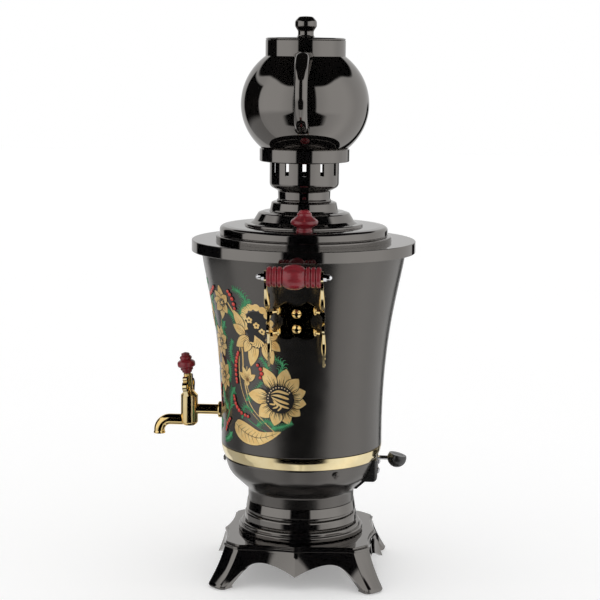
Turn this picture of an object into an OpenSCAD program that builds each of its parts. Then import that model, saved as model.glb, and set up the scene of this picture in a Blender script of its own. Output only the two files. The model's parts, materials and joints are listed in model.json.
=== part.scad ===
// Electric samovar with a tulip tank, a footed stand, a tap, two side handles, a steam crown and a teapot.
// The vertical axis of the tank is the Z axis and the floor is z = 0.
// The tap points to -Y, the side handles to +X and -X, the heater switch and the mains inlet to +Y.

/* [Stand] */
// Height of the stand, from the floor to the top of its plate
stand_h = 36.5; // [30:0.5:46]
// Distance from the axis to the tip of a toe
foot_reach = 98.5; // [92:0.5:110]
// Length of a toe's pad from heel to tip
toe_l = 11; // [8:0.5:14]
// Width of a toe
toe_w = 16; // [12:0.5:18]
// Distance from the axis to a corner facet of the moulding's ledge
corner_reach = 80; // [77:0.5:86]
// How far the ledge stands out from the plate's edge
ledge_proud = 2.2; // [1:0.1:3]
// Width of a corner facet
facet_w = 18; // [14:0.5:20]
// Rounding of a facet's two edges
facet_round = 2; // [0.5:0.1:3]
// Distance from the axis to the ledge's ridge in the middle of a side
ridge_reach = 66.6; // [64:0.1:70]
// How far the skirt flares out under a ridge
ridge_flare = 6; // [2:0.2:9]
// Depth of the bow in each half of a side
side_bow = 2.2; // [0.5:0.1:4]
// Height of the pointed drop under a ridge above the floor
drop_z = 12.8; // [9:0.2:16]
// Height of the arch between a ridge and a leg
arch_z = 22.2; // [18:0.2:25]
// Distance from a ridge to the top of the arch
arch_y = 30; // [24:0.5:36]
// Height of the moulding round the plate's edge
edge_h = 4.4; // [3:0.1:6]
// Height of the plate's own edge above the ledge
slab_h = 1.6; // [1:0.1:2.4]
// Wall of the casting
cast_t = 3.4; // [2.6:0.1:5]
// Thickness of the casting's plate
plate_t = 4; // [3:0.25:6]
// Radius of the opening in the casting's plate
plate_hole_r = 34; // [30:0.5:36]
// Radius of the cover under the opening
cover_r = 40; // [38.5:0.5:41.5]
// Thickness of the cover
cover_t = 1.2; // [0.8:0.1:2]

/* [Pedestal] */
// Radius of the lowest ring
foot_ring_r = 54.3; // [53:0.1:58]
// Height of the lowest ring
foot_ring_h = 5; // [3:0.1:8]
// Radius of the step above it
step_ring_r = 52; // [50:0.1:52.8]
// Height of the step
step_ring_h = 3.4; // [2:0.1:5]
// Radius of the lower bead
low_ring_r = 48.9; // [47.6:0.1:49.5]
// Height of the lower bead
low_ring_h = 8.8; // [6:0.1:12]
// Radius of the groove between the beads
groove_r = 46.2; // [45:0.1:47]
// Height of the groove
groove_h = 1.9; // [1.2:0.1:3]
// Radius of the upper bead
high_ring_r = 48; // [47:0.1:50]
// Height of the upper bead
high_ring_h = 8.9; // [6:0.1:12]
// Sheet of the pedestal
pedestal_t = 1.5; // [1:0.1:2]

/* [Lower bowl] */
// Radius of the bowl's neck, where it stands on the pedestal
neck_r = 46.1; // [44:0.1:47]
// Height of the straight neck
neck_h = 9.6; // [5:0.1:14]
// How much smaller than the tank's foot the bowl's widest radius is
bowl_inset = 3; // [2:0.1:5]
// Height of the bowl from the pedestal to the band
bowl_h = 39.1; // [36:0.1:48]
// Height of the gold band
band_h = 10.1; // [7:0.1:14]
// Thickness of the band
band_t = 0.8; // [0.5:0.1:1.2]
// How far the band's lower edge stands proud of the bowl
band_proud = 0.2; // [0.1:0.1:1]
// Sheet of the bowl
bowl_t = 1; // [0.8:0.1:1.5]

/* [Tank] */
// Outer radius of the tank at its foot
tank_foot_r = 69.8; // [68:0.1:76]
// Outer radius of the tank at its mouth
tank_top_r = 87.9; // [84:0.1:92]
// How far the tank draws in above its foot
tank_draw_in = 1.9; // [0:0.1:5]
// Height of the tank wall
tank_h = 176.3; // [165:0.5:220]
// Sheet of the tank
tank_t = 1; // [0.8:0.1:1.5]
// Overhang of the brim
brim_out = 8.2; // [5:0.1:14]
// Height of the brim
brim_h = 9.8; // [7:0.1:12]
// Width of the brim inside the wall
brim_in = 15.6; // [15:0.1:17.4]
// Sheet of the brim
brim_t = 1.4; // [1:0.1:2]

/* [Tap] */
// Height of the tap's pipe above the tank's foot
tap_up = 26.9; // [24:0.5:40]
// Length of the pipe between the tank and the barrel's axis
tap_pipe_l = 28.8; // [24:0.2:40]
// Radius of the pipe
tap_pipe_r = 4.45; // [4:0.05:5.2]
// Radius of the water passage
tap_bore_r = 2.7; // [2:0.1:3]
// Radius of the barrel
barrel_r = 7.5; // [7:0.1:9]
// Height of the barrel without its bonnet
barrel_h = 24.2; // [22:0.2:30]
// Height of the bonnet
bonnet_h = 6; // [5:0.2:8]
// Radius of the spout tube
spout_r = 4.75; // [4.2:0.05:5.4]
// Distance from the barrel to the outlet's axis
spout_l = 26.4; // [22:0.2:34]
// Radius of the bend in the spout
spout_bend_r = 9.5; // [8:0.1:12]
// Length of the straight outlet
outlet_l = 3; // [3:0.2:10]
// Radius of the outlet's lip
outlet_r = 5.15; // [5.1:0.05:6]
// Radius of the outlet's bore
outlet_bore_r = 3.5; // [3:0.1:3.8]
// Radius of the turning plug
plug_r = 5; // [4.4:0.1:5.4]
// Radius of the plug's stem
stem_r = 3.1; // [2.6:0.1:3.6]
// Radius of the rosette against the tank
rosette_r = 7.25; // [6.5:0.05:9]
// Thickness of the rosette
rosette_t = 2.2; // [1.5:0.1:3]
// Thickness of a rubber seal
seal_t = 1; // [0.8:0.1:1.6]
// Half the width of the key's fretted plate
key_half_w = 14.6; // [13.8:0.1:18]
// Thickness of the key's plate
key_t = 3.6; // [3:0.1:5]
// Height of the key above the bonnet
key_h = 15.4; // [14:0.1:20]
// Lean of the key away from the tank, in degrees
key_lean = 6; // [0:0.5:8]
// Angle by which the closed key isn't square, in degrees
key_rest = 8; // [0:1:15]
// Height of the key's wooden knob
key_knob_h = 18.9; // [15:0.1:24]
// Radius of the key's wooden knob
key_knob_r = 7.8; // [6.5:0.1:9]

/* [Side handles] */
// Height of a plate's centre above the tank's foot
handle_up = 118.9; // [112:0.5:126]
// Height of a handle's plate
handle_plate_h = 33; // [30:0.5:38]
// Width of a handle's plate
handle_plate_w = 29.4; // [27:0.2:34]
// Thickness of a handle's plate
handle_plate_t = 1.4; // [1:0.1:2]
// Distance between a plate's two screws
handle_screw_gap = 13.3; // [12:0.1:16]
// Height of the grip's axis above the plate's centre
grip_up = 41.4; // [38:0.2:44]
// Distance of the grip's axis from the wall at the plate
grip_out = 40; // [38:0.2:46]
// Length of the wooden grip
grip_l = 43.3; // [40:0.2:50]
// Radius of the grip's ends
grip_end_r = 8.25; // [7:0.05:9.5]
// Radius of the grip's middle
grip_ball_r = 10.2; // [9.5:0.05:12]
// Length of the grip's middle
grip_ball_l = 18.4; // [14:0.2:22]
// Radius of the rod through the grip
rod_r = 1.5; // [1.5:0.1:2.5]
// Thickness of the cheeks that hold the grip
cheek_t = 1.9; // [1.5:0.1:2.5]
// Length of an acorn nut
acorn_l = 6.8; // [6:0.1:9]

/* [Lid and crown] */
// Lap of the lid on the brim
lid_lap = 3.1; // [2.2:0.1:7.7]
// Width of the lid's flange
lid_ledge = 3.2; // [1.4:0.1:5.4]
// Height of the lid's shelf above the brim
lid_shelf_h = 12.4; // [10:0.1:14]
// Height of the lid's top above the brim
lid_h = 32.8; // [31:0.1:38]
// Sheet of the lid
lid_t = 1.4; // [1:0.1:2]
// Depth of the lid's skirt inside the tank's mouth
lid_skirt_h = 8; // [5:0.5:14]
// Distance from the lid's edge to a knob
lid_knob_in = 14.9; // [13.4:0.1:16.4]
// Height of a lid knob
lid_knob_h = 18.7; // [16:0.1:24]
// Radius of a lid knob
lid_knob_r = 11.4; // [9:0.1:13]
// Angle from the handles' line to the lid's knobs, in degrees
lid_turn = 4; // [0:1:90]
// Radius of the steam hole in the lid's top
vent_r = 11; // [8:0.5:13]
// Radius of the crown's neck
crown_neck_r = 22.3; // [20:0.1:24]
// Height of the crown's neck
crown_neck_h = 11.8; // [10:0.1:16]
// Radius of the crown's cup
crown_cup_r = 29.7; // [28.5:0.1:31]
// Height of the crown's cup
crown_cup_h = 22.4; // [20:0.1:28]
// Outer radius of the crown's top ring
crown_ring_r = 38.4; // [37.5:0.1:41]
// Height of the crown's top ring
crown_ring_h = 10.6; // [8:0.1:14]
// Sheet of the crown
crown_t = 1.5; // [1.2:0.1:2]
// Number of steam slots round the cup
slot_count = 12; // [8:1:16]
// Width of a steam slot
slot_w = 3.7; // [2.5:0.1:4.5]
// Height of a steam slot
slot_h = 10.4; // [7:0.1:12]

/* [Teapot] */
// Radius of the teapot's belly
pot_r = 54.6; // [53:0.1:58]
// Height of the belly's middle over its foot
pot_mid_h = 46.7; // [45:0.1:52]
// Depth of the belly's whole ellipse below its middle
pot_low = 50.5; // [46:0.1:54]
// Height of the belly's whole ellipse above its middle
pot_high = 51.7; // [48:0.1:56]
// Radius of the foot
pot_foot_r = 36; // [34:0.1:36.4]
// Radius of the neck
pot_neck_r = 34; // [31:0.1:36]
// Height from the foot to the neck's rim
pot_h = 100.9; // [98:0.1:108]
// Wall of the teapot
pot_t = 3.4; // [2.8:0.1:4.5]
// Height of the teapot's lid without its knob
pot_lid_h = 1.8; // [1.6:0.1:4]
// Radius of the lid's knob
pot_knob_r = 9.3; // [8:0.1:12]
// Height of the lid's knob
pot_knob_h = 18; // [14:0.1:24]
// Width of the handle's strap
pot_handle_w = 12.8; // [10:0.2:16]
// Thickness of the handle's strap
pot_handle_t = 8; // [6:0.2:9]
// Radius of the handle's loop, at the strap's middle
pot_loop_r = 29.5; // [28:0.2:32]
// Height of the handle's top, at the strap's middle
pot_loop_top = 86.8; // [84:0.2:92]
// Distance from the axis to the spout's tip
pot_spout_reach = 93; // [88:0.5:102]
// Angle from the handles' line to the teapot's handle, in degrees
pot_turn = 1; // [0:1:90]

/* [Heater and switch] */
// Radius of the heating loop
heater_loop_r = 40; // [36:0.5:46]
// Radius of the heating tube
heater_tube_r = 4; // [3:0.1:5]
// Height of the loop's axis above the tank's floor
heater_up = 13; // [11:0.5:18]
// Half the distance between the loop's two legs
heater_leg_y = 20; // [18:0.5:23]
// Radius of a thread that holds the heater
heater_thread_r = 6; // [5.5:0.1:7]
// Length of the switch lever from its pivot
lever_l = 33.5; // [32:0.5:42]
// Radius of the rod
lever_r = 1.85; // [1.5:0.05:2.2]
// Distance of the lever below the tank's foot
lever_down = 12.5; // [12.4:0.1:13.2]
// Travel of the lever from on to off, in degrees
lever_travel = 8; // [4:1:9]
// Radius of the lever's knob
lever_knob_r = 8.3; // [7:0.1:9]
// Width of the inlet housing
inlet_w = 46; // [42:0.5:56]
// Height of the inlet housing
inlet_h = 18.6; // [18:0.1:19.4]
// How far the housing stands out from the bowl
inlet_proud = 0.2; // [0.1:0.1:4]
// Wall of the housing
inlet_t = 1.8; // [1.5:0.1:2]
// Distance between the two mains pins
pin_gap = 19; // [17:0.5:20]
// Radius of a mains pin
pin_r = 2; // [1.6:0.1:2.1]

/* [Fasteners and fits] */
// Radius of the large screws
screw_r = 2; // [1.75:0.05:2.25]
// Radius of the small screws
small_screw_r = 1.5; // [1.25:0.05:1.6]
// Clearance of a screw or pin in its hole
screw_fit = 0.1; // [0.05:0.01:0.2]
// Gap between curved pieces side by side
skin_gap = 0.2; // [0.1:0.05:0.3]
// Radial clearance of a turning fit
turn_fit = 0.05; // [0.03:0.01:0.1]
// Gap between pieces that lift out of each other
lift_gap = 0.5; // [0.3:0.05:0.8]
// Gap under a piece that rests on another and lifts off
seat_gap = 0.05; // [0.02:0.01:0.1]

/* [Hidden] */
$fn = 96;

black = "#141414";
gloss_black = "#0c0c0d";
gold = "#d9a441";
wood = "#7a1420";
steel = "#c9ccd0";
brass = "#c8a45a";
rubber = "#3a3a3a";
bakelite = "#2b2320";

// Outline helpers. A path is a list of [radius, height] points, walked upward along the outer face.
arc_steps = 6;

function unit(v) = v / norm(v);

function flat2(p) = [p.x, p.y];

function half_angle(a, b, c) =
    let (u = unit(flat2(a) - flat2(b)), w = unit(flat2(c) - flat2(b)))
    acos(max(-1, min(1, u * w))) / 2;

// The rounding of the corner at b, no larger than its two edges allow.
function corner_r(a, b, c, rad) =
    min(rad, 0.48 * min(norm(flat2(a) - flat2(b)), norm(flat2(c) - flat2(b))) * tan(half_angle(a, b, c)));

function corner_arc(a, b, c, rad) =
    let (
        u = unit(flat2(a) - flat2(b)),
        w = unit(flat2(c) - flat2(b)),
        half = half_angle(a, b, c),
        r = corner_r(a, b, c, rad),
        mid = flat2(b) + unit(u + w) * r / sin(half),
        p = flat2(b) + u * r / tan(half) - mid,
        q = flat2(b) + w * r / tan(half) - mid,
        from = atan2(p.y, p.x),
        sweep = (atan2(q.y, q.x) - from + 540) % 360 - 180
    )
    [for (i = [0 : arc_steps]) let (t = from + sweep * i / arc_steps) mid + r * [cos(t), sin(t)]];

function is_rounded(pts, i) = i > 0 && i < len(pts) - 1 && len(pts[i]) == 3 && pts[i].z > 0.01;

// A path from corner points [radius, height, rounding].
function rounded(pts) = [
    for (i = [0 : len(pts) - 1])
        each is_rounded(pts, i) ? corner_arc(pts[i - 1], pts[i], pts[i + 1], pts[i].z) : [flat2(pts[i])]
];

function left_of(a, b) = let (d = unit(flat2(b) - flat2(a))) [-d.y, d.x];

// The corner points moved to their left, which is inward for a path that climbs the outer face.
function moved_in(pts, t) = [
    for (i = [0 : len(pts) - 1])
        let (
            before = left_of(pts[max(0, i - 1)], pts[max(1, i)]),
            after = left_of(pts[min(len(pts) - 2, i)], pts[min(len(pts) - 1, i + 1)]),
            m = unit(before + after),
            turn = before.x * after.y - before.y * after.x,
            r = is_rounded(pts, i) ? corner_r(pts[i - 1], pts[i], pts[i + 1], pts[i].z) : 0
        )
        concat(flat2(pts[i]) + m * t / (m * after), [r == 0 ? 0 : max(0, turn > 0 ? r - t : r + t)])
];

function backwards(path) = [for (i = [len(path) - 1 : -1 : 0]) path[i]];

// The faces of a bar drawn as rings 0 to last of n points each, with flat ends.
function bar_faces(last, n) = concat(
    [[for (j = [n - 1 : -1 : 0]) j]],
    [for (i = [0 : last - 1])
        for (j = [0 : n - 1])
            let (a = i * n + j, b = i * n + (j + 1) % n)
            each [[a, b, b + n], [a, b + n, a + n]]],
    [[for (j = [0 : n - 1]) last * n + j]]
);

module turned(points) {
    rotate_extrude() polygon(points);
}

// A spun sheet of even thickness that follows corner points.
module spun(pts, t) {
    turned(concat(rounded(pts), backwards(rounded(moved_in(pts, t)))));
}

// Everything on or inside a path that climbs from low to high.
module filled_to(path) {
    turned(concat([[0, path[0].y]], path, [[0, path[len(path) - 1].y]]));
}

// Heights, from the floor up.
pedestal_h = foot_ring_h + step_ring_h + low_ring_h + groove_h + high_ring_h;
z_seam = stand_h + pedestal_h;
z_band = z_seam + bowl_h;
z_tank = z_band + band_h;
z_tank_top = z_tank + tank_h;
z_brim = z_tank_top + brim_t;
z_lid = z_brim + seat_gap;
z_lid_top = z_lid + lid_h;
z_shelf = z_lid + lid_shelf_h;
z_crown = z_lid_top + seat_gap;
z_cup = z_crown + crown_neck_h;
z_ring = z_cup + crown_cup_h;
z_pot = z_ring + crown_t + seat_gap;
z_pot_mid = z_pot + pot_mid_h;
z_pot_rim = z_pot + pot_h;

// Widths that follow from the tank's.
bowl_r = tank_foot_r - bowl_inset;
brim_r = tank_top_r + brim_out;
mouth_r = tank_top_r - brim_in;
inlet_reach = bowl_r + inlet_proud;

// The tank's outer face: one smooth curve from foot to mouth, with a short upright land for the brim.
rim_land = 2;
curve_steps = 26;
curve_low = 0.6;
curve_high = 0.85;
function bezier(a, b, c, d, t) =
    a * pow(1 - t, 3) + 3 * b * pow(1 - t, 2) * t + 3 * c * (1 - t) * t * t + d * pow(t, 3);
function tank_curve() = concat(
    [for (i = [0 : curve_steps])
        bezier(
            [tank_foot_r, z_tank], [tank_foot_r - tank_draw_in, z_tank + curve_low * tank_h],
            [tank_top_r, z_tank + curve_high * tank_h], [tank_top_r, z_tank_top - rim_land], i / curve_steps
        )],
    [[tank_top_r, z_tank_top]]
);
function tank_r(z) = lookup(z, [for (p = tank_curve()) [p.y, p.x]]);
function slope_at(z) = atan((tank_r(z + 8) - tank_r(z - 8)) / 16);

// Fasteners, each drawn along +Z from the seat of its head, which lies below z = 0.
head_f = 1.9;
nut_f = 2.02;
nut_h_f = 1.6;

module pan_screw(r, length) {
    turned(rounded([
        [0, -1.25 * r], [0.8 * r, -1.25 * r], [head_f * r, -0.55 * r, 0.5 * r], [head_f * r, 0],
        [r, 0], [r, length], [0, length]
    ]));
}

module slotted_screw(r, length) {
    difference() {
        pan_screw(r, length);
        translate([-0.25 * r, -2 * head_f * r, -2 * r]) cube([0.5 * r, 4 * head_f * r, 1.4 * r]);
    }
}

module hole(r, length) {
    translate([0, 0, -length / 2]) cylinder(r = r, h = length);
}

module ring(r, bore, h, sides = $fn) {
    difference() {
        cylinder(r = r, h = h, $fn = sides);
        hole(bore, 3 * h);
    }
}

module hex_nut(r, h) {
    ring(nut_f * r, r + turn_fit, h, 6);
}

module around(count, reach, start = 0) {
    for (i = [0 : count - 1])
        rotate([0, 0, start + i * 360 / count]) translate([reach, 0, 0]) children();
}

// Points +Z of its children along +Y.
module along_y() {
    rotate([-90, 0, 0]) children();
}

// Points +Z of its children along +X.
module along_x() {
    rotate([0, 90, 0]) children();
}

// Stand: one casting, drawn as rings of points from the plate's opening over the outside and back inside.
stand_screw_n = 4;
stand_screw_reach = foot_ring_r - 8.3;
stand_screw_turn = 45;
module stand_screw_places() {
    around(stand_screw_n, stand_screw_reach, stand_screw_turn) children();
}
cover_screw_n = 3;
cover_screw_reach = plate_hole_r + (cover_r - plate_hole_r) / 2;
cover_screw_l = plate_t - 1;
module cover_screw_places() {
    around(cover_screw_n, cover_screw_reach) children();
}
edge_step = 0.6;
half_side_steps = 12;
skirt_drops = [0, 0.14, 0.3, 0.46, 0.62, 0.78, 0.9, 0.96, 1];
facet_marks = [-0.8, -0.4, 0.4, 0.8];
z_skirt = stand_h - edge_h;
sole_r = 3.3;
sole_l = 2.5;

// The moulding's corners as [inward from the ledge, down from the plate's top].
moulding = [
    [ledge_proud + 0.5, 0], [ledge_proud, 0.5], [ledge_proud, slab_h], [0.6, slab_h],
    [0, slab_h + 0.6], [0, edge_h - 0.3]
];

// Distance of a leg's outer face from the axis at a height.
function leg_reach(z) =
    corner_reach + (foot_reach - corner_reach) * pow(max(0, min(1, (z_skirt - z) / (z_skirt - 3))), 1.35);

function facet_half(z) = (toe_w + (facet_w - toe_w) * z / stand_h) / 2;

// How far the edges of a facet lie behind its middle.
function facet_back(z) = facet_round * (1 - 0.6 * z / stand_h);

// How far a side's face stands out under the ledge, at its ridge.
function ridge_out(z) = ridge_flare * pow(max(0, min(1, (z_skirt - z) / (z_skirt - drop_z))), 1.35);

// Place on a side for q from 0 at its ridge to 1 at the corner facet, as [outward, sideways].
function side_at(q, reach, half_w, out) =
    let (
        top = [corner_reach + facet_w / 2, corner_reach - facet_w / 2] / sqrt(2),
        here = [reach + half_w, reach - half_w] / sqrt(2)
    )
    [
        ridge_reach + (top.x - ridge_reach) * q - 4 * side_bow * q * (1 - q)
        + (here.x - top.x) * pow(q, 3) + out * (1 - q),
        q * (top.y + (here.y - top.y) * pow(q, 3))
    ];

// Height of the lower edge over the floor, at a distance from the ridge.
function lower_edge(y) =
    let (sole_y = (foot_reach - toe_w / 2) / sqrt(2) - sole_l)
    y < arch_y
        ? arch_z - (arch_z - drop_z) * pow((arch_y - y) / arch_y, 1.6)
        : max(0, arch_z * (1 - pow((y - arch_y) / (sole_y - arch_y), 2.4)));

// The places of a quarter's points: [0, place across the facet], then [-1 or 1, place on the side].
function quarter_samples() = concat(
    [for (f = facet_marks) [0, f]],
    [for (i = [half_side_steps : -1 : 0]) [-1, 1 - pow(1 - i / half_side_steps, 1.5)]],
    [for (i = [1 : half_side_steps]) [1, 1 - pow(1 - i / half_side_steps, 1.5)]]
);

function turned_by(p, a) = [p.x * cos(a) - p.y * sin(a), p.x * sin(a) + p.y * cos(a), p.z];

// One ring of the casting. drop runs from 0 at the skirt's top to 1 at its lower edge.
function stand_ring(kind, drop, inset, z_plain) = [
    for (k = [0 : 3])
        for (s = quarter_samples())
            let (
                on_facet = s[0] == 0,
                low = on_facet ? 0 : lower_edge(side_at(s[1], foot_reach, toe_w / 2, 0).y),
                z = kind == "skirt" ? z_skirt + (low - z_skirt) * drop : z_plain,
                under = max(0, sole_r - z),
                sole_in = sole_r - sqrt(sole_r * sole_r - under * under),
                reach = kind == "skirt" ? leg_reach(z) - sole_in : corner_reach,
                half_w = facet_half(z),
                back = facet_back(z),
                on_side = side_at(s[1], reach - back, half_w, kind == "skirt" ? ridge_out(z) : 0),
                front = reach - back * pow(s[1], 4),
                plain = on_facet
                    ? [front + s[1] * half_w, s[1] * half_w - front] / sqrt(2)
                    : [on_side.x, s[0] * on_side.y],
                len0 = norm(plain),
                at_toe = on_facet ? 1 : pow(s[1], 12),
                heel = kind == "skirt" && inset > 2 ? (toe_l - cast_t) * at_toe * pow(drop, 3) : 0,
                kept = kind == "hole" ? plate_hole_r : len0 - inset - heel,
                p = [plain.x * kept / len0, plain.y * kept / len0, z]
            )
            turned_by(p, 90 * k)
];

function stand_rings() =
    let (last = len(skirt_drops) - 1)
    concat(
        [stand_ring("hole", 0, 0, stand_h)],
        [for (p = moulding) stand_ring("plate", 0, p[0], stand_h - p[1])],
        [for (i = [0 : last]) stand_ring("skirt", skirt_drops[i], i == 0 ? edge_step : 0, 0)],
        [for (i = [last : -1 : 1]) stand_ring("skirt", skirt_drops[i], cast_t, 0)],
        [stand_ring("plate", 0, cast_t + 3.2, stand_h - plate_t)],
        [stand_ring("hole", 0, 0, stand_h - plate_t)]
    );

// Joins closed rings of equal length into one closed surface, the last ring back to the first.
module ring_body(rings) {
    n = len(rings[0]);
    m = len(rings);
    polyhedron(
        points = [for (r = rings) each r],
        faces = [
            for (i = [0 : m - 1])
                for (j = [0 : n - 1])
                    let (
                        a = i * n + j,
                        b = i * n + (j + 1) % n,
                        c = ((i + 1) % m) * n + (j + 1) % n,
                        d = ((i + 1) % m) * n + j
                    )
                    each [[a, c, b], [a, d, c]]
        ]
    );
}

module stand() {
    color(gloss_black)
    difference() {
        ring_body(stand_rings());
        translate([0, 0, stand_h - plate_t / 2])
            stand_screw_places() hole(screw_r + screw_fit, plate_t + 4);
        translate([0, 0, stand_h - plate_t])
            cover_screw_places() hole(small_screw_r + turn_fit, 2 * cover_screw_l + 0.6);
    }
}

module stand_screws() {
    color(steel)
    translate([0, 0, stand_h - plate_t])
        stand_screw_places() pan_screw(screw_r, plate_t + pedestal_t + nut_h_f * screw_r + 1);
}

module stand_nuts() {
    color(steel)
    translate([0, 0, stand_h + pedestal_t]) stand_screw_places() hex_nut(screw_r, nut_h_f * screw_r);
}

module bottom_cover() {
    color(black)
    difference() {
        translate([0, 0, stand_h - plate_t - cover_t]) cylinder(r = cover_r, h = cover_t);
        translate([0, 0, stand_h - plate_t])
            cover_screw_places() hole(small_screw_r + screw_fit, 4 * cover_t);
    }
}

module cover_screws() {
    color(steel)
    translate([0, 0, stand_h - plate_t - cover_t])
        cover_screw_places() pan_screw(small_screw_r, cover_t + cover_screw_l);
}

// Pedestal: a spun collar with two beads, a flange at each end turned inward.
pedestal_flange_r = foot_ring_r - 16.3;
seam_flange_r = neck_r - 11.1;
seam_screw_n = 3;
seam_screw_reach = neck_r - 6.1;
seam_screw_turn = 60;
module seam_screw_places() {
    around(seam_screw_n, seam_screw_reach, seam_screw_turn) children();
}

function pedestal_corners() =
    let (
        z1 = stand_h + foot_ring_h,
        z2 = z1 + step_ring_h,
        z3 = z2 + low_ring_h,
        z4 = z3 + groove_h
    )
    [
        [pedestal_flange_r, stand_h], [foot_ring_r, stand_h, 1.8], [foot_ring_r, z1, 1.8],
        [step_ring_r, z1, 0.4], [step_ring_r, z2, 1.5],
        [low_ring_r - 1.8, z2, 0.3], [low_ring_r - 1.6, z2 + 0.8, 0.4],
        [low_ring_r, z2 + 1.6, 1.8], [low_ring_r, z3 - 0.6, 2], [groove_r, z3 + 0.2, 0.3],
        [groove_r, z4, 0.3], [high_ring_r, z4 + 0.3, 1.2], [neck_r + 0.6, z_seam - 0.4, 0.3],
        [neck_r - 0.4, z_seam, 0.3], [seam_flange_r, z_seam]
    ];

module pedestal() {
    color(gloss_black)
    difference() {
        spun(pedestal_corners(), pedestal_t);
        translate([0, 0, stand_h]) stand_screw_places() hole(screw_r + screw_fit, 4 * pedestal_t);
        translate([0, 0, z_seam]) seam_screw_places() hole(screw_r + screw_fit, 4 * pedestal_t);
    }
}

module pedestal_screws() {
    color(steel)
    translate([0, 0, z_seam + bowl_t])
        seam_screw_places() mirror([0, 0, 1])
            pan_screw(screw_r, bowl_t + pedestal_t + nut_h_f * screw_r + 1);
}

module pedestal_nuts() {
    color(steel)
    translate([0, 0, z_seam - pedestal_t - nut_h_f * screw_r])
        seam_screw_places() hex_nut(screw_r, nut_h_f * screw_r);
}

// Lower bowl: the pan under the tank that holds the wiring.
bowl_turn_low = 5;
bowl_turn_high = 21;
bowl_rim_in = 4;
bowl_screw_n = 3;
bowl_screw_down = 5.8;
bracket_t = 1.5;
bracket_w = 9;
bracket_in = 3.2;
z_bowl_screw = z_band - bowl_screw_down;
z_bowl_turn = z_seam + neck_h;
band_low_r = bowl_r + band_proud;
tuck = band_t + skin_gap;

function bowl_corners() = [
    [seam_flange_r, z_seam], [neck_r, z_seam], [neck_r, z_bowl_turn, bowl_turn_low],
    [bowl_r - 4.2, z_band - 14.4, bowl_turn_high], [bowl_r, z_band - 1.5, 0.4],
    [band_low_r - tuck, z_band, 0.3], [tank_foot_r - tuck, z_tank],
    [tank_foot_r - tuck - bowl_rim_in, z_tank]
];

// The bowl's outer face, without its two flanges.
function bowl_face() = [for (p = rounded(bowl_corners())) if (p.x > seam_flange_r + 1) p];

module inside_bowl_face(margin) {
    turned(concat([[0, z_seam]], [for (p = bowl_face()) [p.x + margin, p.y]], [[0, z_tank]]));
}

function bowl_face_r(z) = lookup(z, [for (p = bowl_face()) if (p.x > neck_r - 1) [p.y, p.x]]);

// The lever's opening and the inlet's opening in the bowl's rear. The slot is open at the housing's top.
z_lever = z_tank - lever_down;
lever_pivot_y = bowl_r - 16.8;
lever_slot_w = 2 * lever_r + 1.4;
lever_slot_low = z_lever - (inlet_reach - lever_pivot_y) * tan(lever_travel) - lever_r - 0.9;
lever_slot_high = z_lever + lever_r + 0.3;
housing_gap = 0.3;
housing_corner = 3;
housing_bottom_r = 4;
z_inlet_top = z_band - housing_gap;
z_inlet_low = z_inlet_top - inlet_h;
housing_screw_x = inlet_w / 2 - housing_corner - head_f * small_screw_r + 0.4;
socket_roof = 0.9;
socket_w = 2 * (housing_screw_x - head_f * small_screw_r - 0.2);
z_socket = z_inlet_low + inlet_t + 0.1;
socket_h = lever_slot_low - socket_roof - z_socket;
socket_l = 21.4;
socket_back_y = inlet_reach - 0.6 - socket_l;
cut_l = 90;

module lever_slot() {
    translate([-lever_slot_w / 2, 0, lever_slot_low])
        cube([lever_slot_w, cut_l, lever_slot_high - lever_slot_low]);
}

module lower_bowl() {
    color(black)
    difference() {
        spun(bowl_corners(), bowl_t);
        translate([0, 0, z_seam]) seam_screw_places() hole(screw_r + screw_fit, 6 * bowl_t);
        translate([0, 0, z_bowl_screw])
            around(bowl_screw_n, bowl_r, -90) along_x() hole(small_screw_r + screw_fit, 12);
        lever_slot();
        translate([-socket_w / 2 - lift_gap, 0, z_socket - lift_gap])
            cube([socket_w + 2 * lift_gap, cut_l, socket_h + 2 * lift_gap]);
        housing_screw_places() hole(small_screw_r + turn_fit, 24);
    }
}

bowl_screw_seat = bowl_face_r(z_bowl_screw + head_f * small_screw_r) + skin_gap;
bracket_reach = bowl_face_r(z_bowl_screw) - bowl_t - bracket_in;

module bowl_screws() {
    color(black)
    translate([0, 0, z_bowl_screw])
        around(bowl_screw_n, bowl_screw_seat, -90)
            along_x() mirror([0, 0, 1])
                slotted_screw(small_screw_r, bowl_screw_seat - bracket_reach + bracket_t + 2);
}

module gold_band() {
    color(gold)
    spun([
        [band_low_r, z_band], [band_low_r + (tank_foot_r - band_low_r) * 0.76, z_band + band_h * 0.52, 18],
        [tank_foot_r, z_tank]
    ], band_t);
}

// Tank: floor and wall in one sheet, with welded brackets and studs under the floor.
switch_w = 22;
switch_y0 = lever_pivot_y - 19;
switch_y1 = lever_pivot_y + 7;
switch_h = 15.5;
strap_t = 1.2;
ear_l = 9;
stud_x = switch_w / 2 + strap_t + ear_l / 2;
switch_stud_y = (switch_y0 + switch_y1) / 2 - 6;
stud_l = strap_t + nut_h_f * screw_r + 1.4;
studs = [[-stud_x, switch_stud_y], [stud_x, switch_stud_y], [-30, 8]];
weld = 0.3;

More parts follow.
